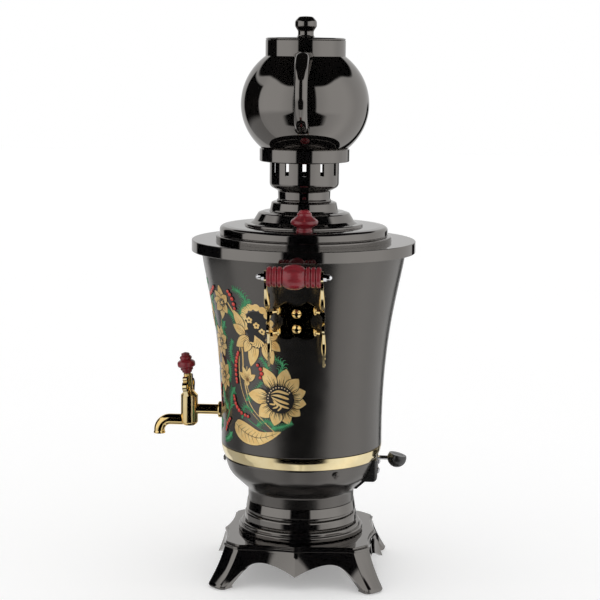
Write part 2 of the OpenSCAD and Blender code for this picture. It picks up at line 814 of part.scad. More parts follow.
module tank() {
    color(black) {
        difference() {
            spun(concat(
                [[0.001, z_tank], [tank_foot_r, z_tank, 1.5]],
                [for (i = [1 : curve_steps + 1]) tank_curve()[i]]
            ), tank_t);
            for (side = [0, 1]) mirror([side, 0, 0]) at_handle_screws(0) hole(screw_r + screw_fit, 16);
            translate([0, -tank_foot_r, z_tap]) along_y() hole(tap_thread_r + screw_fit, 16);
            for (s = [-1, 1])
                translate([heater_leg_x, s * heater_leg_y, z_tank]) hole(heater_thread_r + screw_fit, 8);
        }
        for (i = [0 : bowl_screw_n - 1])
            rotate([0, 0, -90 + i * 360 / bowl_screw_n])
                difference() {
                    translate([bracket_reach - bracket_t, -bracket_w / 2, z_bowl_screw - 3.2])
                        cube([bracket_t, bracket_w, z_tank - z_bowl_screw + 3.2 + weld]);
                    translate([bracket_reach, 0, z_bowl_screw]) along_x() hole(small_screw_r + turn_fit, 8);
                }
        for (p = studs) translate([p.x, p.y, z_tank - stud_l]) cylinder(r = screw_r, h = stud_l + weld);
    }
}

// Brim: a hollow ring that caps the tank's mouth.
brim_lip_r = tank_r(z_brim - brim_h) + skin_gap + 0.3;

module brim() {
    color(gloss_black)
    spun([
        [brim_lip_r, z_brim - brim_h], [brim_r, z_brim - brim_h, 0.6],
        [brim_r, z_brim, 0.8], [mouth_r, z_brim, 0.6], [mouth_r, z_brim - 5]
    ], brim_t);
}

// Heater: a looped tube over the tank's floor, its two legs through the floor.
heater_leg_x = sqrt(heater_loop_r * heater_loop_r - heater_leg_y * heater_leg_y);
heater_half_gap = asin(heater_leg_y / heater_loop_r);
z_floor = z_tank + tank_t;
z_heater = z_floor + heater_up;
collar_r = heater_thread_r + 3;
collar_t = 2.5;
heater_nut_h = 5;
heater_nut_r = heater_thread_r * 1.55;
sleeve_t = 1.2;

module at_heater_legs() {
    for (s = [-1, 1]) translate([heater_leg_x, s * heater_leg_y, 0]) children();
}

module heating_element() {
    color(steel) {
        translate([0, 0, z_heater])
            rotate([0, 0, heater_half_gap])
                rotate_extrude(angle = 360 - 2 * heater_half_gap)
                    translate([heater_loop_r, 0]) circle(r = heater_tube_r, $fn = 48);
        at_heater_legs() {
            translate([0, 0, z_floor + seal_t])
                cylinder(r = heater_tube_r + sleeve_t, h = heater_up - seal_t + heater_tube_r + sleeve_t);
            translate([0, 0, z_floor + seal_t]) cylinder(r = collar_r, h = collar_t);
            translate([0, 0, z_tank - heater_nut_h - 2])
                cylinder(r = heater_thread_r, h = heater_nut_h + 2 + tank_t + seal_t + collar_t / 2);
        }
    }
}

module element_gaskets() {
    color(rubber)
    at_heater_legs() translate([0, 0, z_floor]) ring(collar_r, heater_thread_r + turn_fit, seal_t);
}

module element_nuts() {
    color(brass)
    at_heater_legs()
        translate([0, 0, z_tank - heater_nut_h])
            ring(heater_nut_r, heater_thread_r + turn_fit, heater_nut_h, 6);
}

terminal_l = heater_thread_r + 1;
terminal_r = 0.23 * heater_thread_r;
terminal_head_r = 0.57 * heater_thread_r;
terminal_head_h = 0.43 * heater_thread_r;
z_terminal = z_tank - heater_nut_h - 2 - terminal_l;

module element_terminals() {
    color(brass)
    at_heater_legs() translate([0, 0, z_terminal]) {
        cylinder(r = terminal_r, h = terminal_l);
        translate([0, 0, terminal_l - terminal_head_h]) cylinder(r = terminal_head_r, h = terminal_head_h);
    }
}

// Switch: a moulded block held under the tank's floor by a strap, with a lever on a pin.
z_switch_top = z_tank - skin_gap;
lever_boss_r = 4;
lever_boss_w = 4.4;
switch_slot_w = lever_boss_w + 4 * turn_fit;
lever_pin_r = 1.4;

module thermal_switch() {
    color(bakelite)
    difference() {
        translate([-switch_w / 2, switch_y0, z_switch_top - switch_h])
            cube([switch_w, switch_y1 - switch_y0, switch_h]);
        translate([-switch_slot_w / 2, lever_pivot_y - lever_boss_r - 1, z_switch_top - switch_h - 1])
            cube([switch_slot_w, 30, switch_h - 3]);
        translate([0, lever_pivot_y, z_lever]) along_x() hole(lever_pin_r + turn_fit, 60);
    }
}

module switch_bracket() {
    half = switch_w / 2 + skin_gap;
    drop = skin_gap + switch_h + strap_t;
    strap_y = 14;
    color(steel)
    difference() {
        translate([0, switch_stud_y + strap_y / 2, z_tank]) rotate([90, 0, 0])
            linear_extrude(strap_y) difference() {
                union() {
                    translate([-half - strap_t, -drop]) square([2 * (half + strap_t), drop]);
                    translate([-half - strap_t - ear_l, -strap_t])
                        square([2 * (half + strap_t + ear_l), strap_t]);
                }
                translate([-half, strap_t - drop]) square([2 * half, drop]);
            }
        for (s = [-1, 1]) translate([s * stud_x, switch_stud_y, z_tank]) hole(screw_r + screw_fit, 8);
    }
}

module switch_nuts() {
    under = [strap_t, strap_t, 0];
    color(steel)
    for (i = [0 : 2])
        translate([studs[i].x, studs[i].y, z_tank - under[i] - nut_h_f * screw_r])
            hex_nut(screw_r, nut_h_f * screw_r);
}

module switch_lever() {
    color(steel)
    translate([0, lever_pivot_y, z_lever])
    difference() {
        union() {
            translate([-lever_boss_w / 2, 0, 0]) along_x() cylinder(r = lever_boss_r, h = lever_boss_w);
            along_y() cylinder(r = lever_r, h = lever_l);
        }
        along_x() hole(lever_pin_r + turn_fit, 20);
    }
}

module switch_pin() {
    color(steel)
    translate([-switch_w / 2, lever_pivot_y, z_lever])
        along_x() cylinder(r = lever_pin_r, h = switch_w);
}

// The knob is a ball with a flat cut across its top.
knob_flat_up = 3.4;
knob_tilt = -14;

module switch_knob() {
    color(black)
    translate([0, lever_pivot_y + lever_l, z_lever])
    difference() {
        sphere(r = lever_knob_r);
        rotate([knob_tilt, 0, 0]) {
            translate([-20, -20, knob_flat_up]) cube([40, 40, 20]);
            translate([-0.6, -lever_knob_r * 0.55, knob_flat_up - 0.8]) cube([1.2, lever_knob_r * 1.1, 3]);
        }
        translate([0, -lever_knob_r - 1, 0])
            along_y() cylinder(r = lever_r + turn_fit, h = lever_knob_r + 1 + turn_fit);
    }
}

// Inlet: a housing on the bowl's rear, a socket insert through the bowl and two mains pins.
socket_wall = 1.3;
socket_depth = 13;
tongue_w = 20;
tongue_t = 2.7;
tongue_l = 9.7;

module housing_block(inset) {
    w = inlet_w - 2 * inset;
    intersection() {
        translate([0, 0, z_inlet_low - 1]) linear_extrude(inlet_h + 2)
            polygon(rounded([
                [-w / 2, 20], [w / 2, 20], [w / 2, inlet_reach - inset, housing_corner - inset],
                [-w / 2, inlet_reach - inset, housing_corner - inset], [-w / 2, 20]
            ]));
        translate([-w / 2, 0, 0]) rotate([90, 0, 90]) linear_extrude(w)
            polygon(rounded([
                [20, z_inlet_low + inset], [inlet_reach - inset, z_inlet_low + inset, housing_bottom_r],
                [inlet_reach - inset, z_inlet_top - inset, 0.8], [20, z_inlet_top - inset],
                [20, z_inlet_low + inset]
            ]));
    }
}

module housing_screw_places() {
    for (s = [-1, 1])
        translate([s * housing_screw_x, inlet_reach, (z_inlet_low + z_inlet_top) / 2])
            along_y() children();
}

// A tongue under the housing lies along the bowl's face.
module housing_tongue() {
    intersection() {
        translate([-tongue_w / 2, 0, z_inlet_low - tongue_l]) cube([tongue_w, cut_l, tongue_l + inlet_t]);
        inside_bowl_face(skin_gap + tongue_t);
    }
}

module inlet_housing() {
    color(black)
    difference() {
        union() {
            housing_block(0);
            housing_tongue();
        }
        difference() {
            housing_block(inlet_t);
            housing_screw_places() translate([0, 0, -30]) cylinder(r = small_screw_r + 1.4, h = 40);
        }
        inside_bowl_face(skin_gap);
        translate([-socket_w / 2 - turn_fit, 0, z_socket - turn_fit])
            cube([socket_w + 2 * turn_fit, cut_l, socket_h + 2 * turn_fit]);
        housing_screw_places() hole(small_screw_r + screw_fit, 60);
        lever_slot();
    }
}

module inlet_socket() {
    color(bakelite)
    difference() {
        translate([-socket_w / 2, socket_back_y, z_socket]) cube([socket_w, socket_l, socket_h]);
        translate([0, socket_back_y + socket_l - socket_depth, z_socket + socket_wall])
            translate([socket_wall - socket_w / 2, 0, 0])
                cube([socket_w - 2 * socket_wall, cut_l, socket_h - 2 * socket_wall]);
        for (s = [-1, 1])
            translate([s * pin_gap / 2, socket_back_y, z_socket + socket_h / 2])
                along_y() hole(pin_r + turn_fit, 60);
    }
}

pin_tail = 6;

module inlet_pins() {
    color(brass)
    for (s = [-1, 1])
        translate([s * pin_gap / 2, socket_back_y - pin_tail, z_socket + socket_h / 2])
            along_y() turned(rounded([
                [0, 0], [1.3, 0], [1.3, pin_tail - 1.2], [pin_r + 1, pin_tail - 1.2], [pin_r + 1, pin_tail],
                [pin_r, pin_tail], [pin_r, socket_l + pin_tail - 2, 1.2], [0, socket_l + pin_tail - 1.6]
            ]));
}

module housing_screws() {
    color(steel)
    translate([0, 0, (z_inlet_low + z_inlet_top) / 2])
        for (s = [-1, 1])
            translate([s * housing_screw_x, inlet_reach, 0])
                along_y() mirror([0, 0, 1]) slotted_screw(small_screw_r, 11);
}

// Wires run in straight stretches with rounded bends.
wire_r = 1.1;
wire_sides = 12;
bend_steps = 5;

function bend_at(a, b, c) =
    let (
        run = min(5, 0.45 * min(norm(a - b), norm(c - b))),
        p = b + unit(a - b) * run,
        q = b + unit(c - b) * run
    )
    [for (i = [0 : bend_steps])
        let (t = i / bend_steps)
        p * pow(1 - t, 2) + 2 * b * t * (1 - t) + q * t * t];

module wire(stops) {
    route = [
        for (i = [0 : len(stops) - 1])
            each i == 0 || i == len(stops) - 1 ? [stops[i]] : bend_at(stops[i - 1], stops[i], stops[i + 1])
    ];
    last = len(route) - 1;
    n = wire_sides;
    rings = [
        for (i = [0 : last])
            let (
                d = unit(route[min(last, i + 1)] - route[max(0, i - 1)]),
                u = unit(cross(d, [1, 0.1, 0.2])),
                v = cross(d, u)
            )
            [for (j = [0 : n - 1]) route[i] + wire_r * (u * cos(360 * j / n) + v * sin(360 * j / n))]
    ];
    polyhedron(points = [for (r = rings) each r], faces = bar_faces(last, n));
}

module wiring() {
    tail_y = socket_back_y - pin_tail - skin_gap;
    turn_y = switch_y0 - 7;
    z_tail = z_socket + socket_h / 2;
    z_block = z_switch_top - switch_h / 2;
    z_end = z_terminal - skin_gap;
    color("#b03020")
    wire([
        [-pin_gap / 2, tail_y, z_tail], [-pin_gap / 2, turn_y, z_tail + 2], [-5, turn_y, z_block],
        [-5, switch_y0 - skin_gap, z_block]
    ]);
    color("#b03020")
    wire([
        [5, switch_y0 - skin_gap, z_block], [5, turn_y - 2, z_block],
        [heater_leg_x, heater_leg_y, z_end - 7], [heater_leg_x, heater_leg_y, z_end]
    ]);
    color("#2050a0")
    wire([
        [pin_gap / 2, tail_y, z_tail], [pin_gap / 2, turn_y - 4, z_tail - 3],
        [heater_leg_x, -heater_leg_y, z_end - 9], [heater_leg_x, -heater_leg_y, z_end]
    ]);
}

// Tap: a cast body with a barrel, a pipe into the tank and a bent spout. A key turns in the barrel.
z_tap = z_tank + tap_up;
tap_wall_r = tank_r(z_tap);
tap_axis_y = -(tap_wall_r + tap_pipe_l);
tap_thread_r = tap_pipe_r + 0.55;
tap_thread_in = 12;
barrel_floor = 1.4;
port_r = tap_bore_r - 0.4;
z_spout = z_tap - 9.7;
z_barrel = z_spout - spout_r + 0.25;
z_barrel_top = z_barrel + barrel_h;
z_bonnet = z_barrel_top + bonnet_h;
z_outlet = z_spout - spout_bend_r - outlet_l;

module at_barrel() {
    translate([0, tap_axis_y, 0]) children();
}

module quarter_bend(bend_r, tube_r) {
    rotate([90, 0, 90]) rotate([0, 0, 90]) rotate_extrude(angle = 90)
        translate([bend_r, 0]) circle(r = tube_r, $fn = 48);
}

module tap_body() {
    bend_y = tap_axis_y - spout_l + spout_bend_r;
    thread_y = -tap_wall_r + tap_thread_in;
    rosette_y = -tap_wall_r - seal_t - rosette_t;
    color(gold)
    difference() {
        union() {
            translate([0, tap_axis_y, z_tap])
                along_y() cylinder(r = tap_pipe_r, h = rosette_y - tap_axis_y + 0.1);
            translate([0, rosette_y, z_tap]) along_y() turned(rounded([
                [0, 0], [rosette_r - 0.6, 0, 0.3], [rosette_r, 0.8, 0.3], [rosette_r, rosette_t],
                [0, rosette_t]
            ]));
            translate([0, rosette_y + rosette_t - 0.1, z_tap])
                along_y() cylinder(r = tap_thread_r, h = thread_y - rosette_y - rosette_t + 0.1);
            at_barrel() translate([0, 0, z_barrel]) turned(rounded([
                [0, 0], [barrel_r - 2.2, 0], [barrel_r, 2.2, 3.4], [barrel_r, barrel_h], [0, barrel_h]
            ]));
            translate([0, bend_y, z_spout]) along_y() cylinder(r = spout_r, h = tap_axis_y - bend_y);
            translate([0, bend_y, z_spout - spout_bend_r]) quarter_bend(spout_bend_r, spout_r);
            translate([0, bend_y - spout_bend_r, z_outlet]) turned(rounded([
                [0, 0], [outlet_r, 0, 0.2], [outlet_r, 1.2, 0.2], [spout_r, 2.2, 0.4], [spout_r, outlet_l],
                [0, outlet_l]
            ]));
        }
        translate([0, tap_axis_y, z_tap]) along_y() cylinder(r = tap_bore_r, h = 80);
        at_barrel()
            translate([0, 0, z_barrel + barrel_floor]) cylinder(r = plug_r + turn_fit, h = barrel_h);
        translate([0, bend_y, z_spout]) along_y() cylinder(r = tap_bore_r, h = tap_axis_y - bend_y);
        translate([0, bend_y, z_spout - spout_bend_r]) quarter_bend(spout_bend_r, tap_bore_r);
        translate([0, bend_y - spout_bend_r, z_outlet - 1]) cylinder(r = outlet_bore_r, h = outlet_l + 1);
    }
}

module tap_gasket() {
    color(rubber)
    difference() {
        translate([0, -tap_wall_r - seal_t, z_tap]) along_y() cylinder(r = rosette_r - 0.4, h = 3);
        translate([0, -tap_wall_r, z_tap]) along_y() hole(tap_thread_r + screw_fit, 20);
        filled_to(tank_curve(), $fn = 360);
    }
}

// The seal is flat, so it sits off the curved wall by the wall's rise over its radius.
inner_seal_r = 8.5;
tap_nut_h = 5;
inner_seat = sqrt(pow(tap_wall_r - tank_t, 2) - inner_seal_r * inner_seal_r) - skin_gap;

module tap_inner_seal() {
    color(rubber)
    translate([0, -inner_seat, z_tap]) along_y() ring(inner_seal_r, tap_thread_r + screw_fit, seal_t);
}

module tap_nut() {
    color(brass)
    translate([0, -inner_seat + seal_t, z_tap])
        along_y() ring(tap_thread_r * 1.7, tap_thread_r + turn_fit, tap_nut_h, 6);
}

// The key turns about the barrel's axis; its plate leans outward and ends in a wooden knob.
seal_ring_t = 1.6;
plug_top_gap = 0.3;
key_pivot_z = z_bonnet - 3;
knob_seat = 4.6;
knob_stud_r = 1.6;
lobe_r = 4.4;

module key_turned() {
    at_barrel() rotate([0, 0, -key_rest]) children();
}

module key_leaned() {
    translate([0, 0, key_pivot_z]) rotate([key_lean, 0, 0]) translate([0, 0, -key_pivot_z]) children();
}

// Outline of the fretted plate, as [sideways, height above the bonnet].
module key_outline() {
    lobe_x = key_half_w - lobe_r;
    translate([0, z_bonnet]) difference() {
        union() {
            translate([-3.3, 0.8]) square([6.6, key_h - 0.8]);
            for (s = [-1, 1]) {
                translate([s * lobe_x, 5]) circle(r = lobe_r);
                translate([s * (lobe_x - 2), key_h - 4]) circle(r = 2.4);
                polygon([
                    [s * (lobe_x - 2.1), 2], [s * lobe_x, -3.4],
                    [s * (lobe_x + 3.6), 3], [s * (lobe_x + 2), 6]
                ]);
                polygon([
                    [0, 3], [s * lobe_x, 5], [s * lobe_x, 8.6],
                    [s * (lobe_x - 2), key_h - 2], [0, key_h - 1.4]
                ]);
            }
        }
        for (s = [-1, 1]) {
            translate([s * lobe_x, 5.2]) circle(r = 2.1);
            translate([s * (lobe_x - 4.4), key_h - 5.4]) circle(r = 1.3);
        }
    }
}

module tap_key() {
    plug_h = barrel_h - barrel_floor - 2 * plug_top_gap;
    z_plug = z_barrel + barrel_floor + plug_top_gap;
    color(gold)
    key_turned()
    difference() {
        union() {
            translate([0, 0, z_plug]) cylinder(r = plug_r, h = plug_h);
            translate([0, 0, z_plug + plug_h - 0.1])
                cylinder(r = stem_r, h = z_bonnet + 2.4 - z_plug - plug_h + 0.1);
            key_leaned() {
                translate([0, key_t / 2, 0]) rotate([90, 0, 0]) linear_extrude(key_t) key_outline();
                translate([0, 0, z_bonnet + 1]) cylinder(r = stem_r + 0.3, h = key_h - 1);
                translate([0, 0, z_bonnet + key_h - 0.1]) cylinder(r = knob_stud_r, h = knob_seat);
            }
        }
        translate([0, 0, z_spout - port_r]) cylinder(r = port_r, h = z_tap - z_spout + 2 * port_r);
        translate([0, 0, z_spout]) along_x() cylinder(r = port_r, h = plug_r + 2);
        translate([0, 0, z_tap]) rotate([0, -90, 0]) cylinder(r = port_r, h = plug_r + 2);
    }
}

module tap_knob() {
    r = key_knob_r;
    h = key_knob_h;
    color(wood)
    key_turned() key_leaned() translate([0, 0, z_bonnet + key_h])
    difference() {
        turned(rounded([
            [0, 0], [3.1, 0, 0.3], [3.1, 0.9, 0.2], [4.3, 1.1, 0.6], [4.3, 2.5, 0.6], [3.9, 2.8, 0.2],
            [5.5, 3.1, 0.7], [5.5, 4.9, 0.7], [5.2, 5.1, 0.2], [r, 6.3, 2], [r, h * 0.56, 2.6],
            [4.4, h * 0.66, 0.4], [5.3, h * 0.69, 1], [5.3, h * 0.79, 1.2], [3.6, h * 0.85, 0.4],
            [3.7, h * 0.95, 1.6], [0, h]
        ]));
        translate([0, 0, -1]) cylinder(r = knob_stud_r + turn_fit, h = knob_seat + 1);
    }
}

module tap_bonnet() {
    color(gold)
    at_barrel() translate([0, 0, z_barrel_top])
    difference() {
        turned(rounded([
            [0, 0], [barrel_r, 0], [barrel_r, bonnet_h - 3.4, 0.8],
            [barrel_r - 3.2, bonnet_h, 0.6], [0, bonnet_h]
        ]));
        hole(stem_r + turn_fit, 40);
        translate([0, 0, -1]) cylinder(r = stem_r + 1.5, h = seal_ring_t + 1 + turn_fit);
    }
}

module tap_stem_seal() {
    color(rubber)
    at_barrel()
        translate([0, 0, z_barrel_top]) ring(stem_r + 1.5 - turn_fit, stem_r + turn_fit, seal_ring_t);
}

// Side handles, drawn at +X. The handle frame's X axis leaves the tank wall at the plate's centre.
z_handle = z_tank + handle_up;
handle_slope = slope_at(z_handle);
handle_wall_r = tank_r(z_handle);
z_grip = z_handle + grip_up;
grip_x = handle_wall_r + grip_out;
cheek_y = grip_l / 2 + turn_fit;

module handle_frame() {
    translate([handle_wall_r, 0, z_handle]) rotate([0, handle_slope, 0]) children();
}

// Wavy outline of the plate, as [sideways, upward].
module plate_outline() {
    w = handle_plate_w / 2;
    h = handle_plate_h / 2;
    side_cut = 6.4;
    difference() {
        for (s = [0, 1]) mirror([s, 0])
            polygon(rounded([
                [-0.01, h - 3.4], [w * 0.22, h - 3.2, 2], [w * 0.6, h, 3], [w, h - 4, 1], [w, -h + 2, 1],
                [w * 0.5, -h, 4], [w * 0.2, -h + 2.2, 2], [-0.01, -h + 3.2]
            ]));
        for (s = [-1, 1]) translate([s * (w + side_cut * 0.45), -0.4]) circle(r = side_cut);
    }
}

module handle_plate() {
    color(gold)
    difference() {
        handle_frame() intersection() {
            rotate([90, 0, 90]) translate([0, 0, -10]) linear_extrude(20) plate_outline();
            translate([-handle_wall_r, 0, -60]) difference() {
                cylinder(r = handle_wall_r + skin_gap + handle_plate_t, h = 120);
                translate([0, 0, -1]) cylinder(r = handle_wall_r + skin_gap, h = 122);
            }
        }
        at_handle_screws(0) hole(screw_r + screw_fit, 16);
    }
}

// Outline of a cheek, as [distance from the axis, height].
cheek_band = 5.6;
eye_r = 5.2;

function wall_point(up, off) = [tank_r(z_handle + up) + off, z_handle + up];

module cheek_outline() {
    arm_r = grip_x - wall_point(8, 8.6).x;
    tip = wall_point(-37, 4.4);
    difference() {
        union() {
            translate([grip_x, z_grip]) circle(r = eye_r);
            intersection() {
                translate([grip_x - arm_r, z_grip]) difference() {
                    circle(r = arm_r + cheek_band / 2);
                    circle(r = arm_r - cheek_band / 2);
                }
                translate([grip_x - arm_r, z_grip - 2 * arm_r]) square(2 * arm_r);
            }
            polygon(rounded([
                wall_point(22, 6), concat(wall_point(12, 11), 3), concat(wall_point(-2, 12.6), 8),
                concat(wall_point(-18, 8.6), 6), concat(wall_point(-26, 7.8), 6),
                concat(tip + [1.2, -1.6], 1), concat(tip + [-1.2, -1.2], 1),
                concat(wall_point(-26, 2.6), 6), concat(wall_point(-12, 3.6), 6),
                concat(wall_point(0, 5.4), 6), wall_point(22, 6)
            ]));
            translate(wall_point(-4, 13)) circle(r = 5.4);
            translate(wall_point(20, 7)) circle(r = 4.2);
        }
        translate([grip_x, z_grip]) circle(r = rod_r + screw_fit);
        translate(wall_point(-4, 13)) circle(r = 2.4);
        translate(wall_point(-17, 6.2)) circle(r = 1.5);
        translate(wall_point(20, 7)) circle(r = 1.7);
    }
}

lug_up = [8.6, -9.6];
lug_h = 6;

module handle_cheek() {
    w = handle_plate_w / 2;
    translate([0, cheek_y + cheek_t, 0]) rotate([90, 0, 0]) linear_extrude(cheek_t) cheek_outline();
    handle_frame() for (z = lug_up) {
        translate([-0.8, w, z - lug_h / 2]) cube([2.6, 2, lug_h]);
        translate([0.2, w + 1.9, z - 1.7]) cube([1.6, cheek_y - w - 1.8, 3.4]);
        translate([0.2, cheek_y - 2.4, z - 1.7]) cube([7.2, 2.5, 3.4]);
    }
}

module handle_cheeks() {
    color(gold) {
        handle_cheek();
        mirror([0, 1, 0]) handle_cheek();
    }
}

grip_rings = 3;
ball_span = 62;

// Half of the grip's outline from its middle to its end, as [radius, distance from the middle].
function grip_half() =
    let (
        b = grip_ball_l / 2,
        pitch = (grip_l / 2 - b) / grip_rings,
        gr = grip_end_r - 1.5
    )
    concat(
        [for (i = [0 : 8])
            let (a = i * ball_span / 8)
            [
                gr + 0.2 + (grip_ball_r - gr - 0.2) * (cos(a) - cos(ball_span)) / (1 - cos(ball_span)),
                b * sin(a) / sin(ball_span)
            ]],
        [for (k = [0 : grip_rings - 1])
            each [
                [gr, b + k * pitch + 0.15], [grip_end_r - 0.5, b + k * pitch + 0.6],
                [grip_end_r, b + k * pitch + 1.2], [grip_end_r, b + (k + 1) * pitch - 0.9],
                [grip_end_r - 0.5, b + (k + 1) * pitch - 0.35],
                [gr + (k == grip_rings - 1 ? 1.2 : 0), b + (k + 1) * pitch]
            ]]
    );

module handle_grip() {
    half = grip_half();
    color(wood)
    translate([grip_x, 0, z_grip]) along_y() difference() {
        turned(concat(
            [[0, -grip_l / 2]], backwards([for (p = half) [p.x, -p.y]]),
            [for (i = [1 : len(half) - 1]) half[i]], [[0, grip_l / 2]]
        ));
        hole(rod_r + turn_fit, 2 * grip_l);
    }
}

rod_end = 4;

module handle_rod() {
    l = 2 * (cheek_y + cheek_t + rod_end);
    color(steel)
    translate([grip_x, 0, z_grip]) along_y() translate([0, 0, -l / 2]) cylinder(r = rod_r, h = l);
}

module handle_acorn_nuts() {
    r = 1.75 * rod_r;
    l = acorn_l;
    color(steel)
    for (s = [0, 1]) mirror([0, s, 0])
        translate([grip_x, cheek_y + cheek_t, z_grip]) along_y() difference() {
            union() {
                cylinder(r = 1.2 * r, h = 0.36 * l, $fn = 6);
                turned(rounded([
                    [0, 0], [r, 0], [r, 0.45 * l], [0.88 * r, 0.75 * l, 1.4], [0.35 * r, l, 0.6], [0, l]
                ]));
            }
            translate([0, 0, -1]) cylinder(r = rod_r + turn_fit, h = rod_end + 1.2);
        }
}

module at_handle_screws(x) {
    handle_frame() for (s = [-1, 1])
        translate([x, 0, s * handle_screw_gap / 2]) along_x() children();
}

handle_nut_h = nut_h_f * screw_r;
inner_x = -tank_t - 0.4;

module handle_screws() {
    color(gold)
    at_handle_screws(skin_gap + handle_plate_t) mirror([0, 0, 1])
        slotted_screw(screw_r, handle_plate_t + skin_gap - inner_x + seal_t + handle_nut_h + 1);
}

module handle_seals() {
    color(rubber)
    at_handle_screws(inner_x - seal_t) ring(2.3 * screw_r, screw_r + screw_fit, seal_t);
}

module handle_nuts() {
    color(steel)
    at_handle_screws(inner_x - seal_t - handle_nut_h) hex_nut(screw_r, handle_nut_h);
}

module left_side() {
    mirror([1, 0, 0]) children();
}

// Lid: a spun sheet with a flange, a shelf, a bead, two steps and a skirt in the tank's mouth.
lid_flange_h = 3.9;
lid_r = mouth_r + lid_lap;
lid_shoulder_r = lid_r - lid_ledge;
lid_knob_reach = lid_r - lid_knob_in;
bead_r = 0.676 * lid_r;
step_r = 0.57 * lid_r;
step_top_r = step_r - 5;
boss_r = 29.1;
boss_top_r = 27.4;
boss_h = 8.4;
z_step = z_lid_top - boss_h;
lid_wood_n = 2;
knob_screw_l = 9;
skirt_t = 1.1;

function lid_corners() = [
    [lid_r, z_lid], [lid_r, z_lid + lid_flange_h, 0.9],
    [lid_shoulder_r - 0.5, z_lid + lid_flange_h + 0.5, 0.4],
    [lid_shoulder_r, z_lid + lid_flange_h + 1.2, 0.5], [lid_shoulder_r, z_shelf - 0.6, 4.6],
    [lid_shoulder_r - 7, z_shelf, 6],
    [bead_r, z_shelf, 0.4], [bead_r - 0.4, z_shelf + 2, 1.2],
    [step_r + 3, z_shelf + 2.2, 1.1], [step_r, z_shelf + 4.2, 2.2], [step_top_r + 1, z_step - 1.2, 1.6],
    [(2 * step_top_r + boss_r) / 3, z_step, 1], [boss_r + 1, z_step, 0.8],
    [boss_r, z_step + 1.6, 1], [boss_top_r + 0.4, z_lid_top - 0.8, 0.8],
    [boss_top_r - 1.4, z_lid_top, 0.6], [vent_r, z_lid_top]
];

module lid() {
    skirt_r = mouth_r - lift_gap;
    color(gloss_black) {
        difference() {
            spun(lid_corners(), lid_t);
            translate([0, 0, z_shelf])
                around(lid_wood_n, lid_knob_reach, lid_turn) hole(screw_r + screw_fit, 8);
        }
        turned([
            [skirt_r, z_lid - lid_skirt_h], [skirt_r, z_lid], [lid_r - 1.2, z_lid],
            [lid_r - 1.2, z_lid + 0.8], [skirt_r - skirt_t, z_lid + 0.8],
            [skirt_r - skirt_t, z_lid - lid_skirt_h]
        ]);
    }
}

module lid_knobs() {
    r = lid_knob_r;
    h = lid_knob_h;
    color(wood)
    translate([0, 0, z_shelf])
        around(lid_wood_n, lid_knob_reach, lid_turn)
            difference() {
                turned(rounded([
                    [0, 0], [0.6 * r, 0, 0.3], [0.6 * r, 0.08 * h, 0.5], [0.56 * r, 0.11 * h, 0.4],
                    [0.56 * r, 0.2 * h, 0.5], [0.66 * r, 0.23 * h, 0.4],
                    [r, 0.36 * h, 2], [r, 0.52 * h, 2.8],
                    [0.54 * r, 0.73 * h, 0.5], [0.53 * r, 0.76 * h, 0.4], [0.53 * r, 0.84 * h, 1],
                    [0.44 * r, 0.87 * h, 0.5], [0.36 * r, 0.97 * h, 2.4], [0, h]
                ]));
                translate([0, 0, -1]) cylinder(r = screw_r + turn_fit, h = knob_screw_l + 1);
            }
}

module lid_knob_screws() {
    color(steel)
    translate([0, 0, z_shelf - lid_t])
        around(lid_wood_n, lid_knob_reach, lid_turn) pan_screw(screw_r, lid_t + knob_screw_l - 0.6);
}

// Crown: the slotted cup on the lid that holds the teapot over the steam.
spigot_h = 5;
slot_down = 0.8;

function crown_corners() = [
    [vent_r - lift_gap, z_crown - spigot_h], [vent_r - lift_gap, z_crown],
    [crown_neck_r + 2, z_crown, 0.8], [crown_neck_r, z_crown + 2.6, 1.4],
    [crown_neck_r + 0.3, z_cup - 2.6, 1.6], [crown_cup_r, z_cup + 1.2, 5],
    [crown_cup_r, z_ring - 0.6, 0.4], [crown_cup_r + 1.6, z_ring, 0.5],
    [crown_ring_r, z_ring, 0.8], [crown_ring_r, z_ring + crown_ring_h]
];

module crown() {
    color(gloss_black)
    difference() {
        spun(crown_corners(), crown_t);
        around(slot_count, crown_cup_r, lid_turn)
            translate([-5, -slot_w / 2, z_ring - slot_down - slot_h]) cube([10, slot_w, slot_h]);
    }
}

// Teapot: a round pot with a spout at -X, a strap handle luted on at +X, and a lid with a knob.
pot_floor_t = 4;

function belly(shrink) =
    let (
        r = pot_r - shrink,
        low = pot_low - shrink,
        high = pot_high - shrink,
        foot = (pot_foot_r - shrink) / r,
        neck = (pot_neck_r - shrink) / r
    )
    [for (i = [0 : 20])
        let (a = -acos(foot) + i * (acos(foot) + acos(neck)) / 20)
        [r * cos(a), z_pot_mid + (a < 0 ? low : high) * sin(a)]];

spout_down = 16;
spout_tip_down = 14.5;

function spout_point(t) =
    let (
        root = [-pot_r + 9, z_pot_mid - spout_down],
        tip = [-pot_spout_reach, z_pot_rim - spout_tip_down]
    )
    bezier(root, root + [-29, 1], tip + [21, -24], tip, t);

sweep_sides = 24;

// A round or oval bar along a route of [outward, height] points. sizes gives each point's half
// thickness in the route's plane and across it.
module swept(route, sizes) {
    last = len(route) - 1;
    n = sweep_sides;
    rings = [
        for (i = [0 : last])
            let (d = unit(route[min(last, i + 1)] - route[max(0, i - 1)]))
            [for (j = [0 : n - 1])
                let (a = 360 * j / n)
                [
                    route[i].x - d.y * sizes[i].x * cos(a),
                    sizes[i].y * sin(a),
                    route[i].y + d.x * sizes[i].x * cos(a)
                ]]
    ];
    polyhedron(
        points = [for (r = rings) each r],
        faces = bar_faces(last, n)
    );
}

spout_steps = 14;
spout_root_r = 13.5;
spout_tip_r = 6.6;
spout_wall = 2.6;

